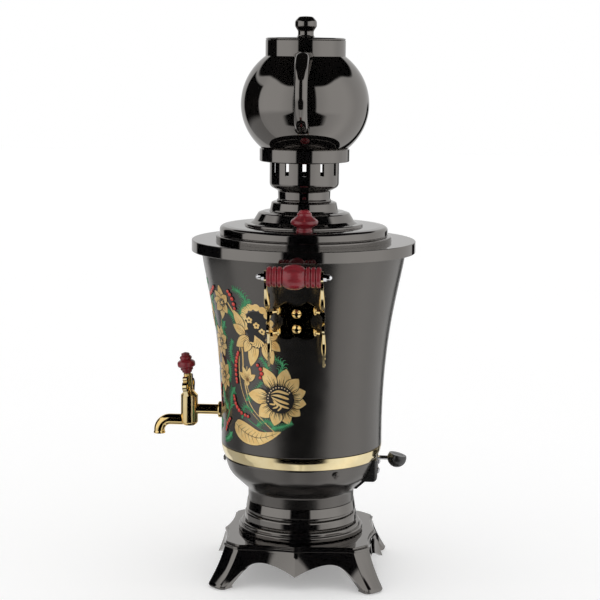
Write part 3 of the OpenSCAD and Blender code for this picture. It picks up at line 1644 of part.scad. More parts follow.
module spout(shrink, from, to) {
    stops = [for (i = [0 : spout_steps]) from + (to - from) * i / spout_steps];
    swept([for (t = stops) spout_point(t)], [
        for (t = stops)
            let (r = spout_root_r + (spout_tip_r - spout_root_r) * (1 - pow(max(0, 1 - t), 1.8)) - shrink)
            [r, r]
    ]);
}

// The handle leaves the shoulder level, loops down and ends in the belly.
loop_steps = 22;
loop_end = -118;
strap_waist = 0.84;

module pot_handle() {
    top_z = z_pot + pot_loop_top;
    loop_x = pot_r - 1.5;
    route = concat(
        [[pot_neck_r - 2, top_z], [pot_neck_r + 6, top_z]],
        [for (i = [0 : loop_steps])
            let (a = 90 + (loop_end - 90) * i / loop_steps)
            [loop_x, top_z - pot_loop_r] + pot_loop_r * [cos(a), sin(a)]]
    );
    swept(route, [
        for (i = [0 : len(route) - 1])
            let (
                end = abs(2 * i / (len(route) - 1) - 1),
                flare = 1 + 0.35 * pow(end, 6),
                waist = strap_waist + (1 - strap_waist) * end * end
            )
            [pot_handle_t / 2, pot_handle_w / 2 * waist] * flare
    ]);
}

// The pot's outside as one solid, with a margin.
module pot_outside(margin) {
    turned(concat(
        [[0, z_pot], [pot_foot_r - 0.8, z_pot], [pot_foot_r, z_pot + 0.8]],
        [for (p = belly(0)) [p.x + margin, p.y]],
        [[pot_neck_r + margin, z_pot_rim - 0.6], [pot_neck_r - 0.6, z_pot_rim], [0, z_pot_rim]]
    ));
}

module teapot() {
    color(gloss_black)
    rotate([0, 0, pot_turn])
    difference() {
        union() {
            pot_outside(0);
            spout(0, 0, 1);
        }
        turned(concat(
            [[0, z_pot + pot_floor_t], [pot_foot_r - pot_t - 3, z_pot + pot_floor_t]],
            [for (p = belly(pot_t)) if (p.y > z_pot + pot_floor_t + 3) p],
            [[pot_neck_r - pot_t, z_pot_rim + 1], [0, z_pot_rim + 1]]
        ));
        spout(spout_wall, 0.12, 1.04);
    }
}

module teapot_handle() {
    color(gloss_black)
    rotate([0, 0, pot_turn])
    difference() {
        pot_handle();
        pot_outside(0.02);
    }
}

module teapot_lid() {
    z = z_pot_rim + seat_gap;
    top = z + pot_lid_h;
    h = pot_knob_h;
    r = pot_knob_r;
    plug = pot_neck_r - pot_t - lift_gap;
    color(gloss_black)
    difference() {
        turned(rounded([
            [0, z - 9], [plug - 0.4, z - 9, 0.3], [plug, z], [pot_neck_r - 0.1, z, 0.3],
            [pot_neck_r - 0.1, top - 0.9, 0.8], [pot_neck_r - 2, top - 0.1, 1.2],
            [r + 6, top + 0.3, 8], [0.8 * r, top + 0.6, 1.2], [0.72 * r, top + 0.12 * h, 0.6],
            [0.72 * r, top + 0.3 * h, 2], [r, top + 0.52 * h, 3], [r, top + 0.76 * h, 3.5],
            [0.62 * r, top + 0.97 * h, 3], [0, top + h]
        ]));
        translate([0, 0, z - 10]) cylinder(r = plug - 3, h = 10 + pot_lid_h * 0.2);
    }
}

stand();
stand_screws();
stand_nuts();
bottom_cover();
cover_screws();
pedestal();
pedestal_screws();
pedestal_nuts();
lower_bowl();
bowl_screws();
gold_band();
tank();
brim();
heating_element();
element_gaskets();
element_nuts();
element_terminals();
thermal_switch();
switch_bracket();
switch_nuts();
switch_lever();
switch_knob();
switch_pin();
wiring();
inlet_housing();
inlet_socket();
inlet_pins();
housing_screws();
tap_body();
tap_gasket();
tap_inner_seal();
tap_nut();
tap_key();
tap_knob();
tap_bonnet();
tap_stem_seal();
handle_plate();  // right_handle_plate
handle_cheeks();  // right_handle_cheeks
handle_grip();  // right_handle_grip
handle_rod();  // right_handle_rod
handle_acorn_nuts();  // right_handle_acorn_nuts
handle_screws();  // right_handle_screws
handle_seals();  // right_handle_seals
handle_nuts();  // right_handle_nuts
left_side() handle_plate();  // left_handle_plate
left_side() handle_cheeks();  // left_handle_cheeks
left_side() handle_grip();  // left_handle_grip
left_side() handle_rod();  // left_handle_rod
left_side() handle_acorn_nuts();  // left_handle_acorn_nuts
left_side() handle_screws();  // left_handle_screws
left_side() handle_seals();  // left_handle_seals
left_side() handle_nuts();  // left_handle_nuts
lid();
lid_knobs();
lid_knob_screws();
crown();
teapot();
teapot_handle();
teapot_lid();
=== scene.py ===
import json
import math

import bmesh
import bpy
from mathutils import Matrix, Vector


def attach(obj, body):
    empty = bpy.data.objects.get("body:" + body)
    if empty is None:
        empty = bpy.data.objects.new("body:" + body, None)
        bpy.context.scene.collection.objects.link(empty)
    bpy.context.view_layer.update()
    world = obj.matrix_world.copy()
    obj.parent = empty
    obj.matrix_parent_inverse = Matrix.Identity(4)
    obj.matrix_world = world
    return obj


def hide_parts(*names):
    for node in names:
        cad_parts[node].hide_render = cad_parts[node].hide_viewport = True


# Looks of an electric samovar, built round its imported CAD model.
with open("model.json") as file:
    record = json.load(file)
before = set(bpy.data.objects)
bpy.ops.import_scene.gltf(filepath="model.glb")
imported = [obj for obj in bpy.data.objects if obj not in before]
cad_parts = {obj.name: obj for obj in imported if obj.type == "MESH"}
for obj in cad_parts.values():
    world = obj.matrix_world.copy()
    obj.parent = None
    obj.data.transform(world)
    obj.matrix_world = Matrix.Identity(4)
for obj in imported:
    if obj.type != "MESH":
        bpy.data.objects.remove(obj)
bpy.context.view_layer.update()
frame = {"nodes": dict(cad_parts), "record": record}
nodes = frame["nodes"]
SLOT_OF = {part["node"]: part["material_slot"] for part in frame["record"]["subparts"]}

# Drawings are in millimetres and meshes in metres
MM = 0.001


# Materials -----------------------------------------------------------------------------------

def feed(tree, node, inputs):
    """Sets a node's inputs to plain values, or links them where the value is another node's output."""
    for key, value in inputs.items():
        if isinstance(value, bpy.types.NodeSocket):
            tree.links.new(value, node.inputs[key])
        else:
            node.inputs[key].default_value = value


def add_node(tree, kind, inputs, **settings):
    """A shader node of a kind, with its inputs and settings."""
    node = tree.nodes.new("ShaderNode" + kind)
    for name, value in settings.items():
        setattr(node, name, value)
    feed(tree, node, inputs)
    return node


class Finish:
    """A Principled material; plain values go on its sockets and surface detail through nodes."""

    def __init__(self, name, base, roughness, metallic=0.0, ior=1.5, coat=0.0, coat_roughness=0.03):
        self.made = bpy.data.materials.new(name)
        self.made.use_nodes = True
        self.tree = self.made.node_tree
        self.shader = self.tree.nodes["Principled BSDF"]
        self.roughness = roughness
        self.place = add_node(self.tree, "TexCoord", {}).outputs["Object"]
        self.set({
            "Base Color": (*base, 1.0), "Roughness": roughness, "Metallic": metallic, "IOR": ior,
            "Coat Weight": coat, "Coat Roughness": coat_roughness,
        })

    def set(self, inputs):
        """Feeds the Principled shader."""
        feed(self.tree, self.shader, inputs)
        return self

    def noise(self, scale, detail, stretch):
        """Noise in object space, scale in features per metre."""
        mapping = add_node(self.tree, "Mapping", {"Scale": stretch, "Vector": self.place})
        inputs = {"Scale": scale, "Detail": detail, "Vector": mapping.outputs["Vector"]}
        return add_node(self.tree, "TexNoise", inputs).outputs["Fac"]

    def spread(self, value, low, high, start=0.3, end=0.7):
        """Low to high while the value goes from start to end, where noise mostly lies."""
        inputs = {"From Min": start, "From Max": end, "To Min": low, "To Max": high, "Value": value}
        return add_node(self.tree, "MapRange", inputs).outputs["Result"]

    def mix(self, factor, low, high):
        low, high = ((*value, 1.0) if isinstance(value, tuple) else value for value in (low, high))
        inputs = {"Factor": factor, 6: low, 7: high}
        return add_node(self.tree, "Mix", inputs, data_type="RGBA").outputs[2]

    def vary_roughness(self, scale, by, stretch=(1, 1, 1)):
        low, high = self.roughness * (1 - by), self.roughness * (1 + by)
        return self.set({"Roughness": self.spread(self.noise(scale, 4.0, stretch), low, high)})

    def vary_colour(self, scale, low, high, stretch=(1, 1, 1), detail=4.0):
        self.colour = self.mix(self.spread(self.noise(scale, detail, stretch), 0.0, 1.0), low, high)
        return self.set({"Base Color": self.colour})

    def lit_worn_edges(self, colour):
        """Lets another colour through on sharp outer edges; the finishes give a lighter one, a painted edge
        highlight with a little edge wear.
        """
        geometry = add_node(self.tree, "NewGeometry", {})
        edge = self.spread(geometry.outputs["Pointiness"], 0.0, 1.0, 0.53, 0.62)
        return self.set({"Base Color": self.mix(edge, self.colour, colour)})

    def bump(self, scale, depth_mm, stretch=(1, 1, 1)):
        inputs = {"Distance": depth_mm * MM, "Height": self.noise(scale, 2.0, stretch)}
        return self.set({"Normal": add_node(self.tree, "Bump", inputs).outputs["Normal"]})


def finish(name, base, roughness, colour, uneven, bump, tint=None, edge_light_and_wear=None, **options):
    """A material from the arguments of vary_colour, vary_roughness and bump. The base is what shows
    where nodes aren't read."""
    made = Finish(name, base, roughness, **options).vary_colour(*colour)
    if tint:
        made.set({"Specular Tint": (*tint, 1.0)})
    # Painted highlight: a lighter colour on sharp outer edges, with a little edge wear.
    if edge_light_and_wear:
        made.lit_worn_edges(edge_light_and_wear)
    return made.vary_roughness(*uneven).bump(*bump).made


def grey(value):
    return (value,) * 3


WARM = (1.0, 0.94, 0.88)

# Scales of noise along X, Y and Z
SPUN = (1, 1, 6)
DRAWN = (0.08, 0.08, 2.0)


def finishes():
    """The finishes by the record's material slot."""
    satin = finish("satin_black_enamel", grey(0.006), 0.22, (90, grey(0.005), (0.009, 0.0085, 0.008)),
                   (70, 0.12), (2600, 0.004), tint=WARM, ior=2.1)
    return {
        "gloss_black": finish(
            "gloss_black_enamel", (0.004, 0.004, 0.0045), 0.045,
            (60, (0.003, 0.003, 0.0034), (0.006, 0.0055, 0.0055)), (45, 0.3), (420, 0.006),
            tint=WARM, ior=2.6),
        "satin_black": satin,
        "black_steel": satin,
        "glazed_ceramic": finish(
            "black_glaze", (0.004, 0.004, 0.0045), 0.03, (40, grey(0.003), (0.007, 0.006, 0.0055)),
            (35, 0.4), (160, 0.02), tint=WARM, ior=2.6),
        # The paler gold on the sharp edges is a painted edge highlight.
        "gold": finish(
            "polished_gold", (0.92, 0.68, 0.3), 0.1, (120, (0.89, 0.63, 0.25), (0.95, 0.72, 0.34)),
            (260, 0.35), (1500, 0.003, SPUN), edge_light_and_wear=(0.95, 0.79, 0.46), metallic=1.0),
        "pale_gold": finish(
            "pale_gold_strip", (0.93, 0.78, 0.46), 0.12, (120, (0.9, 0.74, 0.42), (0.96, 0.82, 0.5)),
            (260, 0.35, (1, 1, 8)), (1500, 0.003, SPUN), metallic=1.0),
        # The lighter red on the sharp edges is a painted edge highlight, with a little wear.
        "red_wood": finish(
            "red_lacquered_wood", (0.2, 0.008, 0.016), 0.34,
            (240, (0.12, 0.004, 0.009), (0.27, 0.014, 0.024), (1.0, 0.09, 0.5), 6.0), (300, 0.2),
            (900, 0.02, (1.0, 0.12, 0.6)), edge_light_and_wear=(0.34, 0.035, 0.035), coat=0.55, coat_roughness=0.14),
        "steel": finish(
            "zinc_steel", (0.6, 0.6, 0.62), 0.3, (300, (0.5, 0.5, 0.52), (0.68, 0.68, 0.7)),
            (400, 0.3), (1800, 0.004), metallic=1.0),
        "inner_steel": finish(
            "brushed_steel", (0.62, 0.61, 0.6), 0.3, (500, (0.54, 0.53, 0.52), (0.7, 0.69, 0.68), DRAWN),
            (300, 0.3, DRAWN), (1800, 0.003, DRAWN), metallic=1.0),
        "chrome": finish(
            "chrome", (0.85, 0.85, 0.87), 0.07, (150, (0.8, 0.8, 0.82), (0.9, 0.9, 0.91)),
            (200, 0.4), (1200, 0.002), metallic=1.0),
        "brass": finish(
            "plain_brass", (0.78, 0.58, 0.3), 0.25, (250, (0.68, 0.48, 0.22), (0.84, 0.65, 0.36)),
            (250, 0.3), (1200, 0.004), metallic=1.0),
        "rubber": finish(
            "rubber", grey(0.02), 0.7, (300, grey(0.014), (0.03, 0.029, 0.028)), (500, 0.15),
            (2400, 0.01)),
        "black_plastic": finish(
            "black_plastic", grey(0.012), 0.26, (200, grey(0.009), (0.017, 0.017, 0.016)),
            (150, 0.2), (3200, 0.006), ior=1.7),
        "wire_sleeve": finish(
            "wire_sleeve", (0.35, 0.05, 0.04), 0.5, (500, (0.28, 0.035, 0.03), (0.42, 0.07, 0.05)),
            (500, 0.2), (3000, 0.02)),
    }


FINISH = finishes()

for node_name, slot_name in SLOT_OF.items():
    node_mesh = nodes[node_name].data
    node_mesh.materials.clear()
    node_mesh.materials.append(FINISH[slot_name])


# Meshes --------------------------------------------------------------------------------------

# The largest turn of one face along a rounding, and the share of a side that a rounding may take
ARC_STEP = math.radians(7)
FIT = 0.48


def ramp(value, start, end):
    """0 at start, 1 at end, smooth between."""
    t = max(0.0, min(1.0, (value - start) / (end - start)))
    return t * t * (3 - 2 * t)


def between(value, start, full, fade, end):
    """1 from full to fade, with smooth ramps from start and to end."""
    return ramp(value, start, full) * (1 - ramp(value, fade, end))


def polar(centre, turn, wide, tall=None):
    """The place round a centre at an angle in radians, on a circle or an upright oval."""
    return centre[0] + wide * math.cos(turn), centre[1] + (tall or wide) * math.sin(turn)


def bezier(stops, t):
    """The place at t on the curve of four control points."""
    s = 1 - t
    p0, p1, p2, p3 = stops
    return tuple(
        p0[k] * s ** 3 + 3 * p1[k] * s * s * t + 3 * p2[k] * s * t * t + p3[k] * t ** 3 for k in (0, 1)
    )


def mesh_object(name, points, faces, made=None):
    mesh = bpy.data.meshes.new(name)
    mesh.from_pydata(points, [], faces)
    mesh.update()
    obj = bpy.data.objects.new(name, mesh)
    bpy.context.scene.collection.objects.link(obj)
    if made:
        mesh.materials.append(made)
    return obj


def tidy_normals(obj, sharp=32):
    """Faces outward, smooth, with creases sharper than the angle in degrees."""
    work = bmesh.new()
    work.from_mesh(obj.data)
    bmesh.ops.recalc_face_normals(work, faces=work.faces)
    work.to_mesh(obj.data)
    work.free()
    obj.data.shade_smooth()
    obj.data.set_sharp_from_angle(angle=math.radians(sharp))


def weigh_normals(obj):
    """Keeps broad faces true beside small fillets."""
    weigh = obj.modifiers.new("weigh", "WEIGHTED_NORMAL")
    weigh.keep_sharp = True
    weigh.weight = 80


def smooth_piece(name, points, faces, slot_name, sharp=32, weigh=True):
    """A piece with its finish, smooth but for creases sharper than the angle in degrees."""
    obj = mesh_object(name, points, faces, FINISH[slot_name])
    tidy_normals(obj, sharp)
    if weigh:
        weigh_normals(obj)
    return obj


def stands_for(obj, node, body):
    """The piece takes the CAD node's place: it joins the node's body, and the node is hidden."""
    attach(obj, body)
    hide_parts(node)


def corner_fit(a, b, c, radius):
    """Of the corner at b: the ways to its neighbours, half its angle and the radius that fits."""
    a, b, c = (Vector(p[:2]) for p in (a, b, c))
    u, w = (a - b).normalized(), (c - b).normalized()
    half = math.acos(max(-1, min(1, u.dot(w)))) / 2
    return u, w, half, min(radius, FIT * min((a - b).length, (c - b).length) * math.tan(half))


def corner_arc(a, b, c, radius):
    """The rounding of the corner at b, as the drawing makes it, in fine steps."""
    u, w, half, r = corner_fit(a, b, c, radius)
    b = Vector(b[:2])
    mid = b + (u + w).normalized() * r / math.sin(half)
    p = b + u * r / math.tan(half) - mid
    q = b + w * r / math.tan(half) - mid
    start = math.atan2(p.y, p.x)
    sweep = (math.atan2(q.y, q.x) - start + 3 * math.pi) % (2 * math.pi) - math.pi
    steps = max(3, math.ceil(abs(sweep) / ARC_STEP))
    return [polar(mid, start + sweep * i / steps, r) for i in range(steps + 1)]


def is_rounded(points, i):
    """Whether a corner point, (radius, height) or (radius, height, rounding), gets an arc."""
    return 0 < i < len(points) - 1 and len(points[i]) == 3 and points[i][2] > 0.01


def rounded(points):
    """A path from corner points (radius, height, rounding)."""
    path = []
    for i, point in enumerate(points):
        if is_rounded(points, i):
            path += corner_arc(points[i - 1], point, points[i + 1], point[2])
        else:
            path.append(tuple(point[:2]))
    return path


def moved_in(points, t):
    """The corner points moved t to their left, with their roundings kept even."""
    def left(a, b):
        d = (Vector(b[:2]) - Vector(a[:2])).normalized()
        return Vector((-d.y, d.x))

    moved = []
    last = len(points) - 1
    for i, point in enumerate(points):
        before = left(points[max(0, i - 1)], points[max(1, i)])
        after = left(points[min(last - 1, i)], points[min(last, i + 1)])
        m = (before + after).normalized()
        place = Vector(point[:2]) + m * t / m.dot(after)
        r = 0
        if is_rounded(points, i):
            r = corner_fit(points[i - 1], point, points[i + 1], point[2])[3]
            turn = before.x * after.y - before.y * after.x
            r = max(0, r - t if turn > 0 else r + t)
        moved.append((place.x, place.y, r))
    return moved


def grid_faces(rows, columns, closed=False):
    """Faces between rows of points that run round; with closed, also from the last row to the first."""
    return [
        (i * columns + j, i * columns + (j + 1) % columns,
         (i + 1) % rows * columns + (j + 1) % columns, (i + 1) % rows * columns + j)
        for i in range(rows if closed else rows - 1) for j in range(columns)
    ]


def lathe_faces(loop, sectors, centre=(0, 0)):
    """Points and faces of a closed outline turned about an upright axis; millimetres in, metres out."""
    points, rings, faces = [], [], []
    for r, z in loop:
        start = len(points)
        if r < 0.01:
            points.append((centre[0] * MM, centre[1] * MM, z * MM))
            rings.append([start])
            continue
        for i in range(sectors):
            x, y = polar(centre, 2 * math.pi * i / sectors, r)
            points.append((x * MM, y * MM, z * MM))
        rings.append(list(range(start, start + sectors)))
    for a, b in zip(rings, rings[1:] + rings[:1]):
        if len(a) == 1 and len(b) == 1:
            continue
        for i in range(sectors):
            j = (i + 1) % sectors
            if len(a) == 1:
                faces.append((a[0], b[j], b[i]))
            elif len(b) == 1:
                faces.append((a[i], a[j], b[0]))
            else:
                faces.append((a[i], a[j], b[j], b[i]))
    return points, faces


def joined(parts):
    """Several (points, faces) pairs as one."""
    points, faces = [], []
    for some, these in parts:
        start = len(points)
        points += list(some)
        faces += [tuple(k + start for k in face) for face in these]
    return points, faces


def lathe(name, loop, slot_name, sectors=192, more=()):
    """A turned piece, with any more (points, faces) pairs that belong to it."""
    return smooth_piece(name, *joined([lathe_faces(loop, sectors), *more]), slot_name)


def spun_loop(points, t):
    """The closed outline of a spun sheet t thick."""
    return rounded(points) + rounded(moved_in(points, t))[::-1]


def box_faces(low, high):
    """Points and faces of an upright box between two corners; millimetres in, metres out."""
    (x0, y0, z0), (x1, y1, z1) = low, high
    corners = (x0, y0), (x1, y0), (x1, y1), (x0, y1)
    points = [(x * MM, y * MM, z * MM) for z in (z0, z1) for x, y in corners]
    faces = [(3, 2, 1, 0), (4, 5, 6, 7), (0, 1, 5, 4), (1, 2, 6, 5), (2, 3, 7, 6), (3, 0, 4, 7)]
    return points, faces


def turned_about_z(part, degrees):
    """A (points, faces) pair turned about the samovar's axis."""
    turn = Matrix.Rotation(math.radians(degrees), 3, "Z")
    return [tuple(turn @ Vector(p)) for p in part[0]], part[1]


def cut(obj, cutters, operation="DIFFERENCE"):
    """Applies exact booleans with throwaway objects."""
    for cutter in cutters:
        change = obj.modifiers.new("cut", "BOOLEAN")
        change.solver = "EXACT"
        change.operation = operation
        change.object = cutter
    settle(obj)
    for cutter in cutters:
        data = cutter.data
        bpy.data.objects.remove(cutter)
        bpy.data.meshes.remove(data)


def settle(obj):
    """Makes the object's modifiers part of its mesh."""
    bpy.context.view_layer.update()
    seen = obj.evaluated_get(bpy.context.evaluated_depsgraph_get())
    mesh = bpy.data.meshes.new_from_object(seen)
    old = obj.data
    obj.modifiers.clear()
    obj.data = mesh
    bpy.data.meshes.remove(old)
    mesh.name = obj.name


# Heights and widths of the drawing, in millimetres -------------------------------------------

# Z_ is a height above the floor, _R a radius, _H a height of one piece, LID_TURN degrees
STAND_H = 36.5
Z_SEAM = 64.5
Z_BAND = 103.6
Z_TANK = 113.7
TANK_H = 176.3
Z_TANK_TOP = 290.0
Z_BRIM = 291.4
Z_LID = 291.45
Z_SHELF = 303.85
Z_STEP = 315.85
Z_LID_TOP = 324.25
Z_CROWN = 324.3
Z_CUP = 336.1
Z_RING = 358.5
Z_POT = 360.05
Z_POT_MID = 406.75
Z_POT_RIM = 460.95
TANK_FOOT_R = 69.8
TANK_TOP_R = 87.9
BOWL_R = 66.8
BAND_LOW_R = 67.0
LID_TURN = 4.0


def tank_curve(steps=90):
    stops = (
        (TANK_FOOT_R, Z_TANK), (TANK_FOOT_R - 1.9, Z_TANK + 0.6 * TANK_H),
        (TANK_TOP_R, Z_TANK + 0.85 * TANK_H), (TANK_TOP_R, Z_TANK_TOP - 2),
    )
    return [bezier(stops, i / steps) for i in range(steps + 1)] + [(TANK_TOP_R, Z_TANK_TOP)]


TANK_CURVE = tank_curve()


def tank_r(z):
    """The tank's outer radius at a height."""
    for (r0, z0), (r1, z1) in zip(TANK_CURVE, TANK_CURVE[1:]):
        if z <= z1:
            return r0 + (r1 - r0) * (z - z0) / (z1 - z0)
    return TANK_TOP_R


# Stand ---------------------------------------------------------------------------------------

# Reaches run from the axis: to the feet and the plate's corners along the diagonals, and to the
# ridge in the middle of a side. The skirt's edge is at ARCH_Z from ARCH_Y on, and DROP_Z in its middle.
FOOT_REACH = 98.5
CORNER_REACH = 80.0
TOE_W = 16.0
FACET_W = 18.0
RIDGE_REACH = 66.6
SIDE_BOW = 2.2
DROP_Z = 12.8
ARCH_Z = 22.2
ARCH_Y = 30.0
EDGE_H = 4.4
CAST_T = 3.4
TOE_L = 11.0
SOLE_R = 3.3
HOLE_R = 34
Z_SKIRT = STAND_H - EDGE_H
ROOT2 = math.sqrt(2)


def leg_fall(z, foot):
    """How far a leg has swept outward at a height, 0 under the plate to 1 at its foot."""
    return max(0.0, min(1.0, (Z_SKIRT - z) / (Z_SKIRT - foot))) ** 1.35


def side_at(q, reach, half_w, out):
    """A place on the stand's side, q from 0 in its middle to 1 at the facet of the corner."""
    top = ((CORNER_REACH + FACET_W / 2) / ROOT2, (CORNER_REACH - FACET_W / 2) / ROOT2)
    here = ((reach + half_w) / ROOT2, (reach - half_w) / ROOT2)
    outward = RIDGE_REACH + (top[0] - RIDGE_REACH) * q - 4 * SIDE_BOW * q * (1 - q)
    return (
        outward + (here[0] - top[0]) * q ** 3 + out * (1 - q),
        q * (top[1] + (here[1] - top[1]) * q ** 3),
    )


def lower_edge(y):
    """The height of the skirt's lower edge: a point in the middle, an arch, and the toe."""
    if y < ARCH_Y:
        return ARCH_Z - (ARCH_Z - DROP_Z) * ((ARCH_Y - y) / ARCH_Y) ** 1.6
    sole_y = (FOOT_REACH - TOE_W / 2) / ROOT2 - 2.5
    s = (y - ARCH_Y) / (sole_y - ARCH_Y)
    return max(0.0, ARCH_Z * (1 - s ** 2.4))


def stand_places(side_steps=34):
    """Places of a quarter's points: (0, place across the facet), then (-1 or 1, place on the side)."""
    across = [-0.97, -0.85, -0.65, -0.4, -0.15, 0.15, 0.4, 0.65, 0.85, 0.97]
    side = [1 - (1 - i / side_steps) ** 1.5 for i in range(side_steps + 1)]
    return [(0, f) for f in across] + [(-1, q) for q in side[::-1]] + [(1, q) for q in side[1:]]


def stand_ring(kind, drop, inset, z_plain):
    """A ring of points of the plate, of its hole, or of the skirt, where drop runs from 0 under the
    plate to 1 at the lower edge."""
    ring = []
    for quarter in range(4):
        spin = math.pi / 2 * quarter
        for where, s in stand_places():
            low = 0.0 if where == 0 else lower_edge(side_at(s, FOOT_REACH, TOE_W / 2, 0)[1])
            z = Z_SKIRT + (low - Z_SKIRT) * drop if kind == "skirt" else z_plain
            under = max(0.0, SOLE_R - z)
            sole_in = SOLE_R - math.sqrt(max(0.0, SOLE_R ** 2 - under ** 2))
            reach = CORNER_REACH
            if kind == "skirt":
                reach += (FOOT_REACH - CORNER_REACH) * leg_fall(z, 3) - sole_in
            half_w = (TOE_W + (FACET_W - TOE_W) * z / STAND_H) / 2
            back = 2 * (1 - 0.6 * z / STAND_H)
            if where == 0:
                front = reach - back * s ** 4
                x, y = (front + s * half_w) / ROOT2, (s * half_w - front) / ROOT2
            else:
                out = 6 * leg_fall(z, DROP_Z) if kind == "skirt" else 0
                x, y = side_at(s, reach - back, half_w, out)
                y *= where
            length = math.hypot(x, y)
            at_toe = 1 if where == 0 else s ** 12
            heel = (TOE_L - CAST_T) * at_toe * drop ** 3 if kind == "skirt" and inset > 2 else 0
            kept = HOLE_R if kind == "hole" else length - inset - heel
            x, y = x * kept / length, y * kept / length
            ring.append((
                (x * math.cos(spin) - y * math.sin(spin)) * MM,
                (x * math.sin(spin) + y * math.cos(spin)) * MM,
                z * MM,
            ))
    return ring


def make_stand():
    moulding = rounded([
        (6, 0), (2.2, 0, 0.5), (2.2, 1.6, 0.25), (0.6, 1.6, 0.3), (0, 2.2, 0.6), (0, EDGE_H - 0.3, 0.3),
        (0.6, EDGE_H - 0.3, 0.1), (0.6, EDGE_H),
    ])
    drops = [0.02, 0.06, 0.1, 0.15, 0.2, 0.26, 0.32, 0.38, 0.44, 0.5, 0.56, 0.62, 0.68, 0.74, 0.8, 0.85,
             0.89, 0.92, 0.945, 0.965, 0.98, 0.99, 1.0]
    rings = [stand_ring("hole", 0, 0, STAND_H)]
    rings += [stand_ring("plate", 0, p[0], STAND_H - p[1]) for p in moulding[:-1]]
    rings += [stand_ring("skirt", 0, 0.6, 0)]
    rings += [stand_ring("skirt", d, 0.6 * max(0, 1 - d / 0.12), 0) for d in drops]
    rings += [stand_ring("skirt", d, CAST_T, 0) for d in drops[::-2]]
    rings += [stand_ring("plate", 0, CAST_T + 3.2, STAND_H - 4), stand_ring("hole", 0, 0, STAND_H - 4)]
    faces = grid_faces(len(rings), len(rings[0]), closed=True)
    obj = smooth_piece("cast_stand", [p for ring in rings for p in ring], faces, "gloss_black", 28)
    stands_for(obj, "stand", "base")


# Pedestal, bowl, band, tank, brim ------------------------------------------------------------

def make_pedestal():
    z1, z2, z3, z4 = STAND_H + 5, STAND_H + 8.4, STAND_H + 17.2, STAND_H + 19.1
    corners = [
        (38, STAND_H), (54.3, STAND_H, 1.8), (54.3, z1, 1.8), (52, z1, 0.4), (52, z2, 1.5),
        (47.1, z2, 0.3), (47.3, z2 + 0.8, 0.4), (48.9, z2 + 1.6, 1.8), (48.9, z3 - 0.6, 2),
        (46.2, z3 + 0.2, 0.3), (46.2, z4, 0.3), (48, z4 + 0.3, 1.2), (46.7, Z_SEAM - 0.4, 0.3),
        (45.7, Z_SEAM, 0.3), (35, Z_SEAM),
    ]
    stands_for(lathe("spun_pedestal", spun_loop(corners, 1.5), "gloss_black"), "pedestal", "base")


def make_bowl():
    tuck = 1.0
    corners = [
        (35, Z_SEAM), (46.1, Z_SEAM), (46.1, Z_SEAM + 9.6, 5), (BOWL_R - 4.2, Z_BAND - 14.4, 21),
        (BOWL_R, Z_BAND - 1.5, 0.4), (BAND_LOW_R - tuck, Z_BAND, 0.3), (TANK_FOOT_R - tuck, Z_TANK),
        (TANK_FOOT_R - tuck - 4, Z_TANK),
    ]
    obj = lathe("lower_bowl_pan", spun_loop(corners, 1), "satin_black")
    lever_slot = box_faces((-2.55, 30, 96.06), (2.55, 90, 103.35))
    inlet_hole = box_faces((-15, 30, 86.1), (15, 90, 95.66))
    settle(obj)
    cut(obj, [mesh_object("lever_slot", *lever_slot), mesh_object("inlet_hole", *inlet_hole)])
    tidy_normals(obj)
    stands_for(obj, "lower_bowl", "base")


def make_band():
    half = BAND_LOW_R + (TANK_FOOT_R - BAND_LOW_R) * 0.76
    corners = [(BAND_LOW_R, Z_BAND), (half, Z_BAND + 5.25, 18), (TANK_FOOT_R, Z_TANK)]
    stands_for(lathe("gold_band_ring", spun_loop(corners, 0.8), "pale_gold"), "gold_band", "base")


def make_tank():
    """The tank with its three brackets and three studs, bright inside."""
    corners = [(0.001, Z_TANK), (TANK_FOOT_R, Z_TANK, 1.5)] + TANK_CURVE[1:]
    weld_z, half_wall = Z_TANK + 0.3, 0.6
    bracket = box_faces((59.7, -4.5, 94.6), (61.2, 4.5, weld_z))
    stud = [(0, Z_TANK - 5.8), (2, Z_TANK - 5.8), (2, weld_z), (0, weld_z)]
    more = [turned_about_z(bracket, -90 + 120 * i) for i in range(3)]
    more += [lathe_faces(stud, 24, place) for place in ((-16.7, 38), (16.7, 38), (-30, 8))]
    obj = lathe("tank_wall", spun_loop(corners, 1), "satin_black", 256, more)
    obj.data.materials.append(FINISH["inner_steel"])
    for face in obj.data.polygons:
        r, z = math.hypot(face.center.x, face.center.y) / MM, face.center.z / MM
        if r < tank_r(z) - half_wall and z > Z_TANK + half_wall:
            face.material_index = 1
    stands_for(obj, "tank", "base")


def make_brim():
    low, mouth_r, brim_r = Z_BRIM - 9.8, 72.3, 96.1
    corners = [
        (tank_r(low) + 0.5, low), (brim_r, low, 0.6), (brim_r, Z_BRIM, 0.8), (mouth_r, Z_BRIM, 0.6),
        (mouth_r, Z_BRIM - 5),
    ]
    stands_for(lathe("brim_ring", spun_loop(corners, 1.4), "gloss_black", 256), "brim", "base")


# Lid and crown -------------------------------------------------------------------------------

